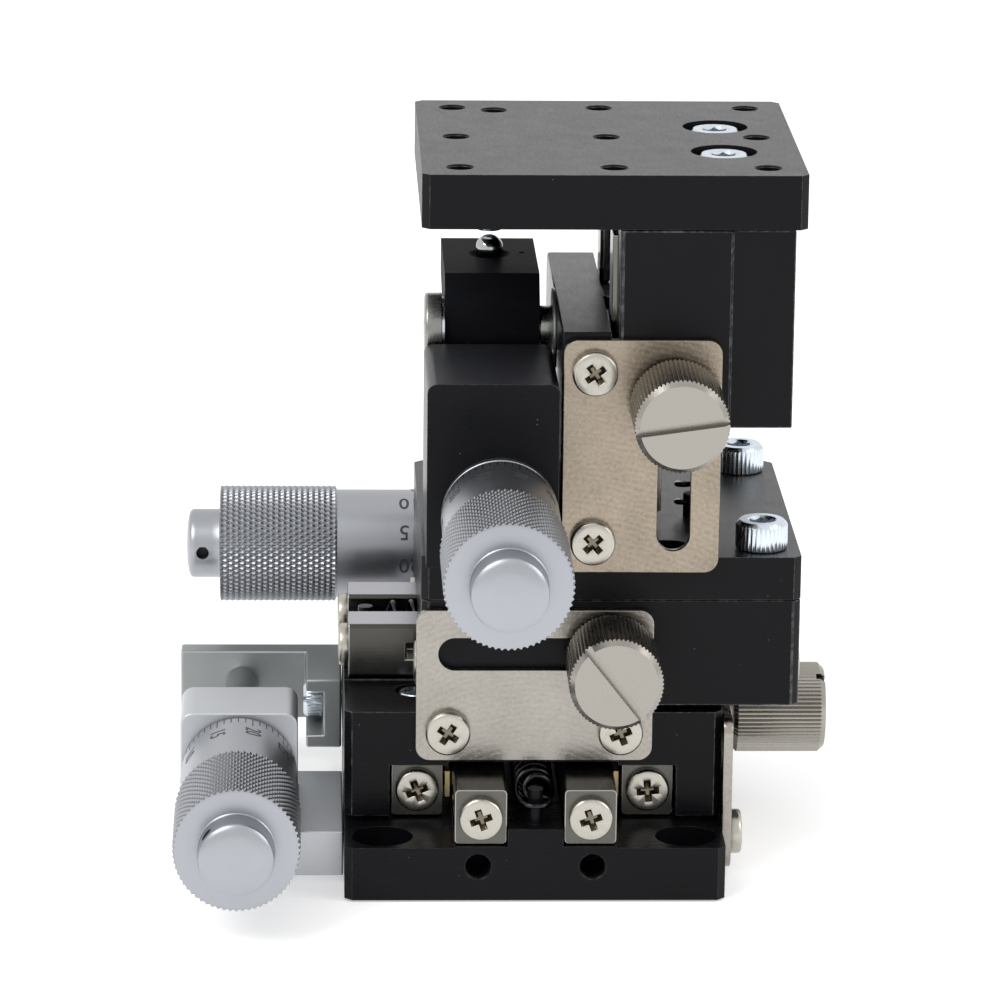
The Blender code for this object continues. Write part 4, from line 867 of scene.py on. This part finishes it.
def cross_cutter(name, reach, half, depth):
    """A tapering cross that goes down along -Y from 0."""
    outline = []
    for turn in range(4):
        c, s = round(math.cos(turn * QUARTER)), round(math.sin(turn * QUARTER))
        for u, v in ((reach, -half), (reach, half), (half, half)):
            outline.append((c * u - s * v, s * u + c * v))
    traced([(u, 0.3, v) for u, v in outline])
    bpy.ops.mesh.edge_face_add()
    bpy.ops.mesh.extrude_region_move(
        TRANSFORM_OT_translate={"value": Vector((0, -(depth + 0.3) * MM, 0))}
    )
    bpy.ops.transform.resize(value=(0.5, 1, 0.5), center_override=(0, -depth * MM, 0))
    tidy_faces()
    return settle(name)


def pan_screw(name, radius, height):
    """A pan head that stands on 0 along +Y, with a cross recess."""
    profile = [(0, -0.3), (radius - 0.12, -0.3), (radius, -0.1), (radius, height * 0.66)]
    profile += [(radius - 0.05, height * 0.82), (radius - 0.2, height * 0.94)]
    profile += [(radius - 0.6, height * 0.985), (0, height)]
    head = turned(name, profile, 56)
    tool = cross_cutter("tool", 1.36, 0.42, 0.95)
    carve(head, move(tool, shift(0, height, 0)))
    dress(head, SCREW_NICKEL, SCREW_NICKEL, RECESS_SHADE)
    soften(head, 0.05, 2, 32)

    def inside(middle, way):
        reach = math.hypot(middle.x, middle.z)
        return reach < 1.42 and 0 < middle.y < height - 0.06 and abs(way.y) < 0.98 or (
            reach < 1 and 0 < middle.y < height - 0.3
        )

    # The faces inside the cross recess get the dark bronze: painted shade in the recess.
    return repaint(head, 2, inside)


def make_guides(prefix, matrix, sides, offset, fixed_length, moving_length, bodies, screw):
    """bodies are the one that carries the inner rails and the one that carries the outer rails."""
    kinds = (("inner", False, 0, fixed_length), ("outer", True, offset, moving_length))
    for sign, side in zip((-1, 1), sides):
        for (kind, outer, middle, length), body in zip(kinds, bodies):
            node = f"{prefix}_rail_{kind}_{side}"
            rail(node, matrix, prefix.upper(), sign, outer, middle, length, body, screw)


# Micrometer heads


def knurl(obj, low, high, depth):
    """Presses a diamond knurl into the grip, between two places along the Y axis."""
    for vert in obj.data.vertices:
        x, y, z = vert.co / MM
        if not low - 1e-4 < y < high + 1e-4 or math.hypot(x, z) < GRIP_RADIUS - 0.02:
            continue
        turn_share = math.atan2(x, z) / TURN * KNURL_TEETH
        along = (y - low) / KNURL_PITCH
        grooves = []
        for sum_of in (turn_share + along, turn_share - along):
            grooves.append(abs((sum_of % 1.0) - 0.5) * 2)
        scale = (GRIP_RADIUS - depth * (1 - min(grooves))) / math.hypot(x, z)
        vert.co = Vector((x * scale, y, z * scale)) * MM
    obj.data.update()


def thimble(node, matrix, look, hole_angle):
    """The skirt, the knurled grip and the end cap with its small spanner hole."""
    rings = GRIP_PITCHES * RINGS_PER_PITCH
    start = -GRIP_START
    end = start - GRIP_PITCHES * KNURL_PITCH
    profile = [(5.05, -0.02), (5.95, 0), (SKIRT_RADIUS, -0.22), (SKIRT_RADIUS, -12.5), (6.3, -12.56)]
    profile += [(GRIP_RADIUS, start + (end - start) * i / rings) for i in range(rings + 1)]
    profile += [(6.36, -25.76), (6.15, -25.8), (4.05, -25.8), (3.95, -25.9), (3.9, -26.05)]
    profile += [(3.9, -26.75 - 0.2 * i) for i in range(11)]
    profile += [(3.83, -29.0), (3.66, -29.17), (3.3, -29.32), (2.2, -29.52), (0, -29.6)]
    profile += [(0, -27.1), (1.95, -27.1), (1.95, -24.1), (5.05, -24.1), (5.05, -0.02)]
    obj = turned(f"{node}_body", profile, KNURL_TEETH * 4)
    knurl(obj, end, start, 0.27)
    way = math.radians(hole_angle)
    bore = rod("tool", "Z", (0, 0, 0), 2.4, 4.5, 0.72, 32)
    carve(obj, move(bore, shift(0, -SPANNER_HOLE, 0) @ Matrix.Rotation(way, 4, "Y")))
    dress(obj, look, INK_AND_BORE_SHADE)
    side = Vector((math.sin(way), 0, math.cos(way)))

    def in_bore(middle, direction):
        reach = (middle - Vector((0, -SPANNER_HOLE, 0))).cross(side).length
        return reach < 0.74 and 2.3 < middle.dot(side) < 3.86

    # The bore of the spanner hole gets the dark ink: painted shade in the hole.
    repaint(obj, 1, in_bore)
    move(obj, matrix)
    shade(obj, 24)
    modify(obj, "WEIGHTED_NORMAL", keep_sharp=True)
    return fit(obj, node, "micrometer_satin", node)


def dial_numbers(name, body, matrix, zero_angle):
    """The numbers 0 to 45 round a thimble's skirt, read from its edge towards the grip. Each is cut
    into strips, so that it can follow the skirt's curve."""
    height, thickness, strip, from_edge = 2.45, 0.02, 0.2, 3.08
    made = []
    for number in range(0, DIVISIONS, 5):
        fresh()
        bpy.ops.object.text_add()
        text = bpy.context.object
        text.data.body = str(number)
        text.data.size = height * MM
        text.data.align_x = "LEFT"
        text.data.align_y = "CENTER"
        text.data.extrude = text.data.offset = thickness * MM
        text.data.resolution_u = 4
        bpy.ops.object.convert(target="MESH")
        digit = bpy.context.object
        bpy.ops.object.mode_set(mode="EDIT")
        for step in range(-5, 6):
            bpy.ops.mesh.select_all(action="SELECT")
            bpy.ops.mesh.bisect(
                plane_co=(0, step * strip * MM, 0), plane_no=(0, 1, 0), threshold=1e-7
            )
        bpy.ops.object.mode_set(mode="OBJECT")
        centre = math.radians(zero_angle + number * 360 / DIVISIONS)
        for vert in digit.data.vertices:
            x, y, z = vert.co / MM
            angle = centre + y / SKIRT_RADIUS
            radius = SKIRT_RADIUS + 0.002 + z
            place = Vector((radius * math.sin(angle), -from_edge - x, radius * math.cos(angle)))
            vert.co = place * MM
        made.append(digit)
    fresh()
    for digit in made:
        digit.select_set(True)
    bpy.context.view_layer.objects.active = made[0]
    bpy.ops.object.join()
    bpy.ops.object.mode_set(mode="EDIT")
    tidy_faces()
    obj = settle(name, matrix)
    dress(obj, INK_AND_BORE_SHADE)
    fit(obj, body, "micrometer_satin")


def sleeve(node, body, matrix, depth, look, flange):
    """The tube in the holder. flange is whether it has a rim in front of the holder."""
    back, radius = -19.5, SLEEVE_RADIUS
    profile = [(2.02, back), (4.6, back), (radius, back + 0.15)]
    if flange:
        profile += [(radius, -1.3), (5.95, -1.3), (6.1, -1.15), (6.1, -0.1), (radius, -0.1)]
    profile += [(radius, depth + 0.3), (4.55, depth + 0.6), (2.02, depth + 0.6), (2.02, back)]
    obj = turned(f"{node}_body", profile, 72, matrix)
    finish_round(obj, look, body, "micrometer_satin", node)


def spindle(node, matrix, tip, gap):
    back = -(gap + SPINDLE_BEHIND)
    profile = [(0, back), (1.85, back), (1.85, tip - 0.35), (1.75, tip - 0.1), (1.55, tip), (0, tip)]
    obj = turned(f"{node}_body", profile, 48, matrix)
    finish_round(obj, POLISHED, node, "polished_steel", node)


def make_micrometer(prefix, matrix, axis, depth, tip, gap, parent, zero_angle, hole_angle):
    """matrix puts the holder's front face at the origin and the axis along +Y. depth and tip are how
    far the sleeve and the spindle reach along it. gap is how far the thimble stands off the face."""
    node = f"{prefix}_thimble"
    back = matrix @ shift(0, -gap, 0)
    edge = back.to_translation()
    way = (matrix.to_3x3() @ Vector((0, -1, 0)))["XYZ".index(axis)]
    at = edge["XYZ".index(axis)]
    dial = graduated(f"{prefix}_dial_steel", axis, edge, at, way, zero_angle)
    thimble(node, back, dial, hole_angle)
    dial_numbers(f"{prefix}_dial_numbers", node, back, zero_angle)
    steel = scaled_sleeve(f"{prefix}_sleeve_steel", axis, edge, at + way * 0.1, way, zero_angle)
    sleeve(f"{prefix}_sleeve", parent, matrix, depth, steel, prefix == "z")
    spindle(f"{prefix}_spindle", matrix, tip, gap)


# Holders and anvils


def make_holder(prefix, matrix, body, screw):
    leg = block("leg", (-25.3, -13.5, 0.5), (-20.1, 7.5, 5.4))
    head = block(f"{prefix}_holder_body", (-37.4, -7, 0.5), (-24.9, 2.7, 16.45))
    bevel_where(head, edges_along("Y"), 1.3, 6)
    weld(head, leg)
    carve(head, rod("tool", "Y", (MICROMETER_X, 0, MICROMETER_HEIGHT), -9, 4, 4.8, 72))
    move(head, matrix)
    node = f"{prefix}_micrometer_holder"
    finish_soft(head, CLEAR, (0.17, 3, 35), body, "clear_anodised", node)
    face = matrix @ shift(-25.3, -10.4, 2.95) @ TO_LEFT
    small = twin(screw, f"{prefix}_holder_screw", face @ Matrix.Scale(0.72, 4))
    fit(small, body, "zinc_screw")


def make_anvil(prefix, matrix, body, screw):
    """matrix already holds the stage's place along its travel."""
    arm = block(f"{prefix}_anvil_body", (-38, ANVIL_FACE, 5.8), (-20.1, 20, 13.6))
    weld(arm, block("leg", (-24, 6, 5.8), (-20.1, 19, 13.6)))
    carve(arm, block("tool", (-26, 4, 7.2), (-22.1, 14.5, 12.2)))
    carve(arm, rod("tool", "X", (0, 12, 9.7), -26, -19, 1.25, 40))
    move(arm, matrix)
    finish_soft(arm, ANVIL, (0.25, 3, 35), body, "clear_anodised", f"{prefix}_anvil")
    head = twin(screw, f"{prefix}_anvil_screw_body", matrix @ shift(-22.2, 12, 9.7) @ TO_LEFT)
    fit(head, body, "zinc_screw", f"{prefix}_anvil_screw")


def cap_screw(name, radius, height, shank_radius, shank, socket, ridges):
    """A socket cap screw along +Y whose head stands on 0, with a straight knurl."""
    profile = [(0, -shank), (shank_radius - 0.2, -shank), (shank_radius, -shank + 0.2)]
    profile += [(shank_radius, 0), (radius - 0.1, 0), (radius, 0.12), (radius, height - 0.5)]
    profile += [(radius - 0.08, height - 0.38), (radius - 0.42, height), (0, height)]
    head = turned(name, profile, ridges * 4)
    for vert in head.data.vertices:
        x, y, z = vert.co / MM
        reach = math.hypot(x, z)
        if reach > radius - 0.05 and 0.05 < y < height - 0.4:
            share = math.atan2(x, z) / TURN * ridges
            inward = 0.09 * abs((share % 1.0) - 0.5) * 2
            vert.co = Vector((x * (1 - inward / reach), y, z * (1 - inward / reach))) * MM
    fresh()
    bpy.ops.mesh.primitive_cylinder_add(
        vertices=6,
        radius=socket * MM,
        depth=height * 1.1 * MM,
        location=(0, height * 1.05 * MM, 0),
        rotation=(QUARTER, 0, 0),
    )
    carve(head, settle("tool"))
    low, high = height - socket * 0.28, height + 0.2
    carve(head, rod("tool", "Y", (0, 0, 0), low, high, socket * 0.84, 36, socket * 1.2))
    dress(clean(head), ZINC)
    return shade(head, 32)


# Clamps


def make_clamp_plate(prefix, matrix, middle, body, screw, rubbed):
    """A slotted sheet on the layer's right side, with its two screws."""
    half_length, half_slot = 12.5, 10.15
    low, high = middle - half_length, middle + half_length
    name = f"{prefix}_clamp_sheet"
    sheet = block(name, (CLAMP_SHEET_LOW, low, 0.75), (CLAMP_SHEET_HIGH, high, 17.25))
    bevel_where(sheet, edges_along("X"), 1.5, 8)
    slot = block("tool", (19, middle - half_slot, 10.7), (22, middle + half_slot, 14.2))
    bevel_where(slot, edges_along("X"), 1.7499, 12)
    carve(sheet, slot)
    move(sheet, matrix)
    finish_soft(sheet, rubbed, (0.1, 2, 35), body, "nickel_plate", f"{prefix}_clamp_plate")
    for number, sign in enumerate((-1, 1), 1):
        title = f"{prefix}_clamp_screw_{number}"
        spin = Matrix.Rotation(math.radians(CROSSES.get(title, 30)), 4, "Y")
        face = shift(CLAMP_SHEET_HIGH, middle + sign * 9.1, 4.0) @ TO_RIGHT
        fit(twin(screw, title, matrix @ face @ spin), body, "nickel_plate")


def make_knob(prefix, matrix, along, slot_angle, body, look):
    """Straight-knurled, with a boss against the sheet and a screwdriver slot across its face."""
    ridges, grip, radius, groove, chamfer, face_share = 66, 10.0, 4.9, 0.17, 0.45, 0.9
    fresh()
    bpy.ops.mesh.primitive_circle_add(
        vertices=ridges * 3, radius=radius * MM, fill_type="NGON", location=(0, 0, 1.3 * MM)
    )
    bpy.ops.object.mode_set(mode="EDIT")
    mesh = bmesh.from_edit_mesh(bpy.context.object.data)
    rim = sorted(mesh.verts, key=lambda v: math.atan2(v.co.y, v.co.x))
    for vert in rim[::3]:
        vert.co.x *= 1 - groove / radius
        vert.co.y *= 1 - groove / radius
    bmesh.update_edit_mesh(bpy.context.object.data)
    bpy.ops.mesh.select_all(action="SELECT")
    bpy.ops.transform.resize(value=(face_share, face_share, 1))
    for height, scale in ((chamfer, 1 / face_share), (grip - chamfer, 1.0)):
        way = Vector((0, 0, height * MM))
        bpy.ops.mesh.extrude_region_move(TRANSFORM_OT_translate={"value": way})
        bpy.ops.transform.resize(value=(scale, scale, 1))
    tidy_faces()
    knob = settle(f"{prefix}_knob_body")
    stem = rod("stem", "Z", (0, 0, 0), -4.9, 1.0, 1.45, 32)
    weld(stem, rod("boss", "Z", (0, 0, 0), 0, 1.8, 3.2, 56))
    weld(knob, stem)
    rim = [(radius - 0.6, 1.35 + grip), (radius + 0.2, 0.45 + grip), (radius + 0.2, 1.6 + grip)]
    rim += [(radius - 0.6, 1.6 + grip), (radius - 0.6, 1.35 + grip)]
    carve(knob, turned("tool", rim, 96, TO_UP))
    carve(knob, block("tool", (-6, -0.42, 10.3), (6, 0.42, 12)))
    facing = Matrix.Rotation(slot_angle, 4, "X") @ Matrix.Rotation(QUARTER, 4, "Y")
    dress(clean(knob), look, RECESS_SHADE)
    shade(knob, 26)
    # The slot's walls get the dark bronze: painted shade in the slot.
    repaint(knob, 1, lambda m, n: abs(m.y) < 0.43 and 10.25 < m.z < 1.25 + grip and abs(n.z) < 0.5)
    move(knob, matrix @ shift(KNOB_START, along, KNOB_HEIGHT) @ facing)
    fit(knob, body, "knob_steel", f"{prefix}_clamp_knob")


# Springs


def coil(node, points):
    """Wire along the points, which runs from one body to another."""
    name = f"{node}_wire"
    curve = bpy.data.curves.new(name, "CURVE")
    curve.dimensions = "3D"
    curve.bevel_depth = 0.3 * MM
    curve.bevel_resolution = 3
    curve.use_fill_caps = True
    line = curve.splines.new("POLY")
    line.points.add(len(points) - 1)
    for point, place in zip(line.points, points):
        point.co = (*(Vector(place) * MM), 1)
    obj = bpy.data.objects.new(name, curve)
    bpy.context.scene.collection.objects.link(obj)
    pick(obj)
    bpy.ops.object.convert(target="MESH")
    obj = settle(name)
    dress(obj, SPRING)
    shade(obj, 60)
    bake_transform(obj)
    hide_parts(node)


def hooked(matrix, start, end, turns):
    """A tension spring's line between two posts along Y, hooked round each."""
    height, hook, radius, lead, each, hook_steps = 10.1, 1.6, 1.9, 1.4, 20, 14

    def hook_round(post_y, low, high):
        angles = [low + (high - low) * step / hook_steps for step in range(hook_steps + 1)]
        return [(hook * math.cos(a), post_y + hook * math.sin(a), height) for a in angles]

    def lead_from(hook_end, way):
        """Half a turn that grows from a hook's end to the coil's radius."""
        points = []
        for step in range(1, each // 2):
            share = step / (each // 2)
            angle = way * math.pi * (share - 1)
            x, z = radius * share * math.sin(angle), radius * share * math.cos(angle)
            points.append((x, hook_end + way * lead * share, height + z))
        return points

    first, last = start + hook, end - hook
    points = hook_round(start, -math.pi, QUARTER) + lead_from(first, 1)
    count = turns * each
    for step in range(count + 1):
        angle = TURN * step / each
        y = first + lead + (last - first - 2 * lead) * step / count
        points.append((radius * math.sin(angle), y, height + radius * math.cos(angle)))
    points += lead_from(last, -1)[::-1] + hook_round(end, -QUARTER, math.pi)
    return [matrix @ Vector(point) for point in points]


def make_springs():
    y_points = hooked(Y_LAYER, *Y_POSTS, 18)
    coil("y_spring", y_points)
    x_points = hooked(X_LAYER, *X_POSTS, 18)
    coil("x_spring", x_points)
    x, y = Z_SPRING_X, Z_SPRING_Y
    low, high, radius, turns, each = 35.65, 57.2, 1.7, 11, 20
    points = []
    for step in range(turns * each + 1):
        angle = TURN * step / each
        z = low + (high - low) * step / (turns * each)
        points.append((x + radius * math.cos(angle), y + radius * math.sin(angle), z))
    coil("z_spring", points)


# Vertical drive


def make_z_holder():
    holder = block("z_holder_body", (-11.6, -16, 35.1), (2.1, 1.8, 54.75))
    bevel_where(holder, lambda m, w: abs(w.y) > 0.9 and m.z > 50, 1.0, 6)
    carve(holder, block("tool", (-7.9, -3, 38.5), (-0.7, 4, 53)))
    carve(holder, rod("tool", "Y", (-4, 0, 40.9), -17, -1, 4.85, 72))
    finish_plate(holder, BLACK["flat"], "x_stage", ("z_micrometer_holder",), 0.25, BLACK["lit_holder_top"], 3)


def finger_outline():
    """The outline (y, z) of the finger, from its rounded nose, which the spindle pushes, to the hub."""
    tilt = math.radians(FINGER_TILT)
    nose_y = PIVOT_Y + FINGER_LENGTH * math.sin(tilt)
    nose_z = PIVOT_Z - FINGER_LENGTH * math.cos(tilt)
    points = []
    for t in arc_steps(FINGER_TILT - 180, FINGER_TILT, 14):
        points.append((nose_y + FINGER_NOSE * math.cos(t), nose_z + FINGER_NOSE * math.sin(t)))
    for side in (1, -1):
        across, along = side * HUB_RADIUS * math.cos(tilt), side * HUB_RADIUS * math.sin(tilt)
        points.append((PIVOT_Y + across, PIVOT_Z + along))
    return points


def make_crank():
    """The lever with its arm and finger, and the ball in the arm."""
    outline = []
    for t in arc_steps(90, 0, 8):
        outline.append((PIVOT_Y - HUB_RADIUS * math.sin(t), PIVOT_Z - HUB_RADIUS * math.cos(t)))
    outline += [(8.8, 54.05), (22.8, 58.25), (22.8, 61.65), (5.45, 61.65), (3.3, 58.9)]
    crank = extruded("crank_body", "X", outline, -9.35, 0.75)
    weld(crank, extruded("finger", "X", finger_outline(), -7.3, -1.3))
    carve(crank, rod("tool", "X", PIVOT, -12, 4, 1.62, 48))
    carve(crank, ball("tool", 1.6, 48))
    carve(crank, rod("tool", "Z", (PIVOT_X, 15, 0), 61.0, 62.0, 1.45, 48, 2.75))
    carve(crank, rod("tool", "Z", (-0.8, 15.6, 0), 61.4, 61.9, 0.1, 24, 0.55))
    finish_plate(crank, BLACK["dull"], "crank", ("bell_crank",))
    # The crank's rounded edges get the light steel grey instead: a painted highlight along them.
    dress(crank, BLACK["dull"], CRANK_EDGE_HIGHLIGHT)
    steel = ball("crank_ball_body", 1.5, 64)
    dress(steel, CHROME)
    pick(steel)
    bpy.ops.object.shade_smooth()
    fit(steel, "crank", "polished_steel", "crank_ball")


def make_pivot():
    """The shoulder screw and the rings on it, along +Y before they are turned to the right."""
    axis = shift(*PIVOT) @ TO_RIGHT
    profile = [(0, -7.2), (3.3, -7.2), (3.62, -7.1), (3.75, -6.85), (3.75, -5.42), (3.68, -5.35)]
    profile += [(1.5, -5.35), (1.5, 10.0), (0, 10.0)]
    screw = turned("crank_pivot_body", profile, 64, axis)
    carve(screw, rod("tool", "X", PIVOT, -12, -10.4, 1.3, 6))
    finish_soft(screw, PIVOT_STEEL, (0.06, 2, 40), "x_stage", "knob_steel", "crank_pivot_screw")
    washer = turned("crank_washer", ring(1.6, 3.35, -5.34, -5.08), 56, axis)
    finish_round(washer, ZINC, "x_stage", "knob_steel")
    spacer = turned("crank_spacer_body", ring(1.6, 2.4, 5.15, 6.7), 48, axis)
    finish_soft(spacer, PIVOT_STEEL, (0.08, 2, 40), "x_stage", "knob_steel", "crank_spacer")
    flange = turned("crank_spacer_flange", ring(1.55, 4.3, 6.44, 6.78), 56, axis)
    finish_soft(flange, ANVIL, (0.08, 2, 40), "x_stage", "knob_steel")


def make_stud():
    profile = [(0, 0), (1.3, 0), (2.1, 0.8), (2.1, 5.84), (0, 5.84)]
    stud = turned("lift_stud_body", profile, 48, shift(PIVOT_X, 16.1, 64.15) @ TO_UP)
    finish_round(stud, POLISHED, "z_stage", "knob_steel", "lift_stud")


# Putting the stage together


def make_rails_and_fixings():
    screw = pan_screw("rail_screw", 2.3, 1.1)
    left_right, back_front = ("left", "right"), ("back", "front")
    make_guides("y", Y_LAYER, left_right, Y_OFFSET, 39, 36.5, ("base", "y_stage"), screw)
    make_guides("x", X_LAYER, back_front, X_OFFSET, 39, 39, ("y_stage", "x_stage"), screw)
    make_guides("z", Z_LAYER, back_front, Z_OFFSET, 21, 18, ("x_stage", "z_stage"), screw)
    fixing = cap_screw("rail_fixing_screw", 2.15, 3.05, 1.0, 0.5, 1.2, 32)
    for x, y in FIXING_PLACES:
        name = f"rail_fixing_{'l' if x < 0 else 'r'}{'f' if y < 0 else 'b'}"
        fit(twin(fixing, name, shift(x, y, 14.85) @ TO_UP), "y_stage", "zinc_screw")
    drop(screw, fixing)


def make_clamps():
    """Each row: the layer's letter and frame, the middle of its sheet, the knob's place along the
    travel, the angle of the knob's slot, the sheet's body, the knob's axis and centre, and the sheet's
    pale and deep colours."""
    screw = pan_screw("clamp_screw", 2.375, 1.32)
    nickel = ((0.38, 0.357, 0.326), (0.28, 0.262, 0.234))
    yellow = ((0.36, 0.305, 0.243), (0.225, 0.19, 0.147))
    rows = (
        ("y", Y_LAYER, 0, Y_OFFSET, 30, "base", "X", (KNOB_START, Y_OFFSET, KNOB_HEIGHT), nickel),
        ("x", X_LAYER, 0, X_OFFSET, 38, "y_stage", "Y", (8, -12.7, 24.7), nickel),
        ("z", Z_LAYER, 1.15, -4.9, 8, "x_stage", "Y", (14.3, -12.7, 52.2), yellow),
    )
    for prefix, matrix, middle, along, angle, plate_body, axis, centre, (pale, deep) in rows:
        sheet_axes = "XYZ".replace(axis, "")
        rubbed = nickel_sheet(f"{prefix}_clamp_nickel", sheet_axes, pale, deep)
        make_clamp_plate(prefix, matrix, middle, plate_body, screw, rubbed)
        look = turned_nickel(f"{prefix}_knob_nickel", axis, centre)
        make_knob(prefix, matrix, along, math.radians(angle), f"{prefix}_knob", look)
    drop(screw)


def make_heads():
    """Holders, anvils and micrometer heads, and the cap screws of the two upper plates."""
    small = cap_screw("small_cap_screw", 2.1, 2.1, 1.1, 4.6, 1.15, 30)
    big = cap_screw("large_cap_screw", 2.75, 3.0, 1.45, 8.6, 1.45, 36)
    make_holder("y", Y_LAYER, "base", small)
    make_holder("x", X_LAYER, "y_stage", small)
    make_anvil("y", Y_LAYER @ shift(0, Y_OFFSET, 0), "y_stage", small)
    make_anvil("x", X_LAYER @ shift(0, X_OFFSET, 0), "x_stage", small)
    for title, body, height, places in (
        ("z_plate_screw", "x_stage", 35.1, Z_PLATE_SCREWS),
        ("top_plate_screw", "z_stage", 72.65, TOP_SCREWS),
    ):
        for number, place in enumerate(places, 1):
            head = twin(big, f"{title}_{number}_body", shift(*place, height) @ TO_UP)
            fit(head, body, "zinc_screw", f"{title}_{number}")
    drop(small, big)
    at = shift(MICROMETER_X, HOLDER_FACE, MICROMETER_HEIGHT)
    for prefix, matrix, offset, body, zero_angle, hole_angle in (
        ("y", Y_LAYER, Y_OFFSET, "base", 230, 308),
        ("x", X_LAYER, X_OFFSET, "y_stage", 314.4, 92),
    ):
        tip = ANVIL_FACE + offset - HOLDER_FACE - TIP_GAP
        sizes = (9.7, tip, THIMBLE_RESERVE - offset)
        make_micrometer(prefix, matrix @ at, prefix.upper(), *sizes, body, zero_angle, hole_angle)
    make_micrometer("z", shift(-4, -16, 40.9), "Y", 12.1, 26.41, 1.6, "x_stage", 90, 200)


def dress_cages():
    """The cages are the only nodes that keep their own mesh."""
    for name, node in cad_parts.items():
        if "_cage_" in name:
            dress(node, BRASS)


# Floor, light and camera


def make_stage():
    fresh()
    bpy.ops.mesh.primitive_plane_add(size=6, location=(0, 0, -0.0002))
    floor = settle("floor")
    look = Look("floor_paper", (0.93, 0.93, 0.93), 0.9, 0.0)
    paper = look.noise(1.5, 3)
    look.set("Base Color", look.mix(paper, (0.92, 0.92, 0.925), (0.94, 0.94, 0.94)))
    look.shader.inputs["Specular IOR Level"].default_value = 0.0
    look.set("Emission Color", (1, 1, 1, 1))
    path = look.node("ShaderNodeLightPath")
    seen = Field(look, path.outputs["Is Camera Ray"]).most(path.outputs["Is Glossy Ray"])
    look.set("Emission Strength", seen.most(path.outputs["Is Transmission Ray"]) * 0.4)
    dress(floor, look.material)


def make_world():
    world = bpy.data.worlds.new("studio")
    bpy.context.scene.world = world
    world.use_nodes = True
    tree = world.node_tree
    background = tree.nodes["Background"]
    path = tree.nodes.new("ShaderNodeLightPath")
    seen = path.outputs["Is Camera Ray"]
    for name in ("Is Glossy Ray", "Is Transmission Ray"):
        add = tree.nodes.new("ShaderNodeMath")
        add.operation = "MAXIMUM"
        tree.links.new(seen, add.inputs[0])
        tree.links.new(path.outputs[name], add.inputs[1])
        seen = add.outputs[0]
    level = tree.nodes.new("ShaderNodeMix")
    level.inputs[2].default_value = 0.78
    level.inputs[3].default_value = 1.0
    tree.links.new(seen, level.inputs[0])
    tree.links.new(level.outputs[0], background.inputs["Strength"])
    background.inputs["Color"].default_value = (1, 1, 1, 1)


def lamp(name, place, size, power):
    """A soft light that is aimed at the middle of the stage."""
    target = (0, 5, 35)
    light = bpy.data.lights.new(name, "AREA")
    light.shape = "RECTANGLE"
    light.size, light.size_y = (value * MM for value in size)
    light.energy = power
    obj = bpy.data.objects.new(name, light)
    bpy.context.scene.collection.objects.link(obj)
    obj.location = Vector(place) * MM
    way = Vector(target) * MM - obj.location
    obj.rotation_euler = way.to_track_quat("-Z", "Y").to_euler()


def make_camera():
    """Long lens, a little above the stage and a little to its left."""
    pitch, yaw, roll = math.radians(15.131), math.radians(-2.134), math.radians(0.646)
    target, away = Vector((-3.345, 0, 38.047)), 592.72
    focal_pixels, frame_pixels, sensor = 5558.5, 1001, 36
    ahead = Vector(
        (-math.sin(yaw) * math.cos(pitch), math.cos(yaw) * math.cos(pitch), -math.sin(pitch))
    )
    right = Vector((math.cos(yaw), math.sin(yaw), 0))
    over = right.cross(ahead)
    across = math.cos(roll) * right + math.sin(roll) * over
    upward = math.cos(roll) * over - math.sin(roll) * right
    data = bpy.data.cameras.new("camera")
    data.sensor_width, data.lens = sensor, focal_pixels / frame_pixels * sensor
    data.clip_start, data.clip_end = 0.01, 20
    camera = bpy.data.objects.new("camera", data)
    bpy.context.scene.collection.objects.link(camera)
    matrix = Matrix((across, upward, -ahead)).transposed().to_4x4()
    matrix.translation = (target - ahead * away) * MM
    camera.matrix_world = matrix
    bpy.context.scene.camera = camera
    bpy.context.scene.view_settings.view_transform = "Standard"


make_base()
make_middle()
make_upper()
make_wall()
make_z_carriage()
make_top()
make_rails_and_fixings()
make_clamps()
make_heads()
make_z_holder()
make_crank()
make_pivot()
make_stud()
make_springs()
dress_cages()

make_stage()
make_world()
lamp("key", (-420, -380, 620), (420, 420), 2.6)
lamp("fill", (560, -260, 380), (380, 380), 1.1)
make_camera()
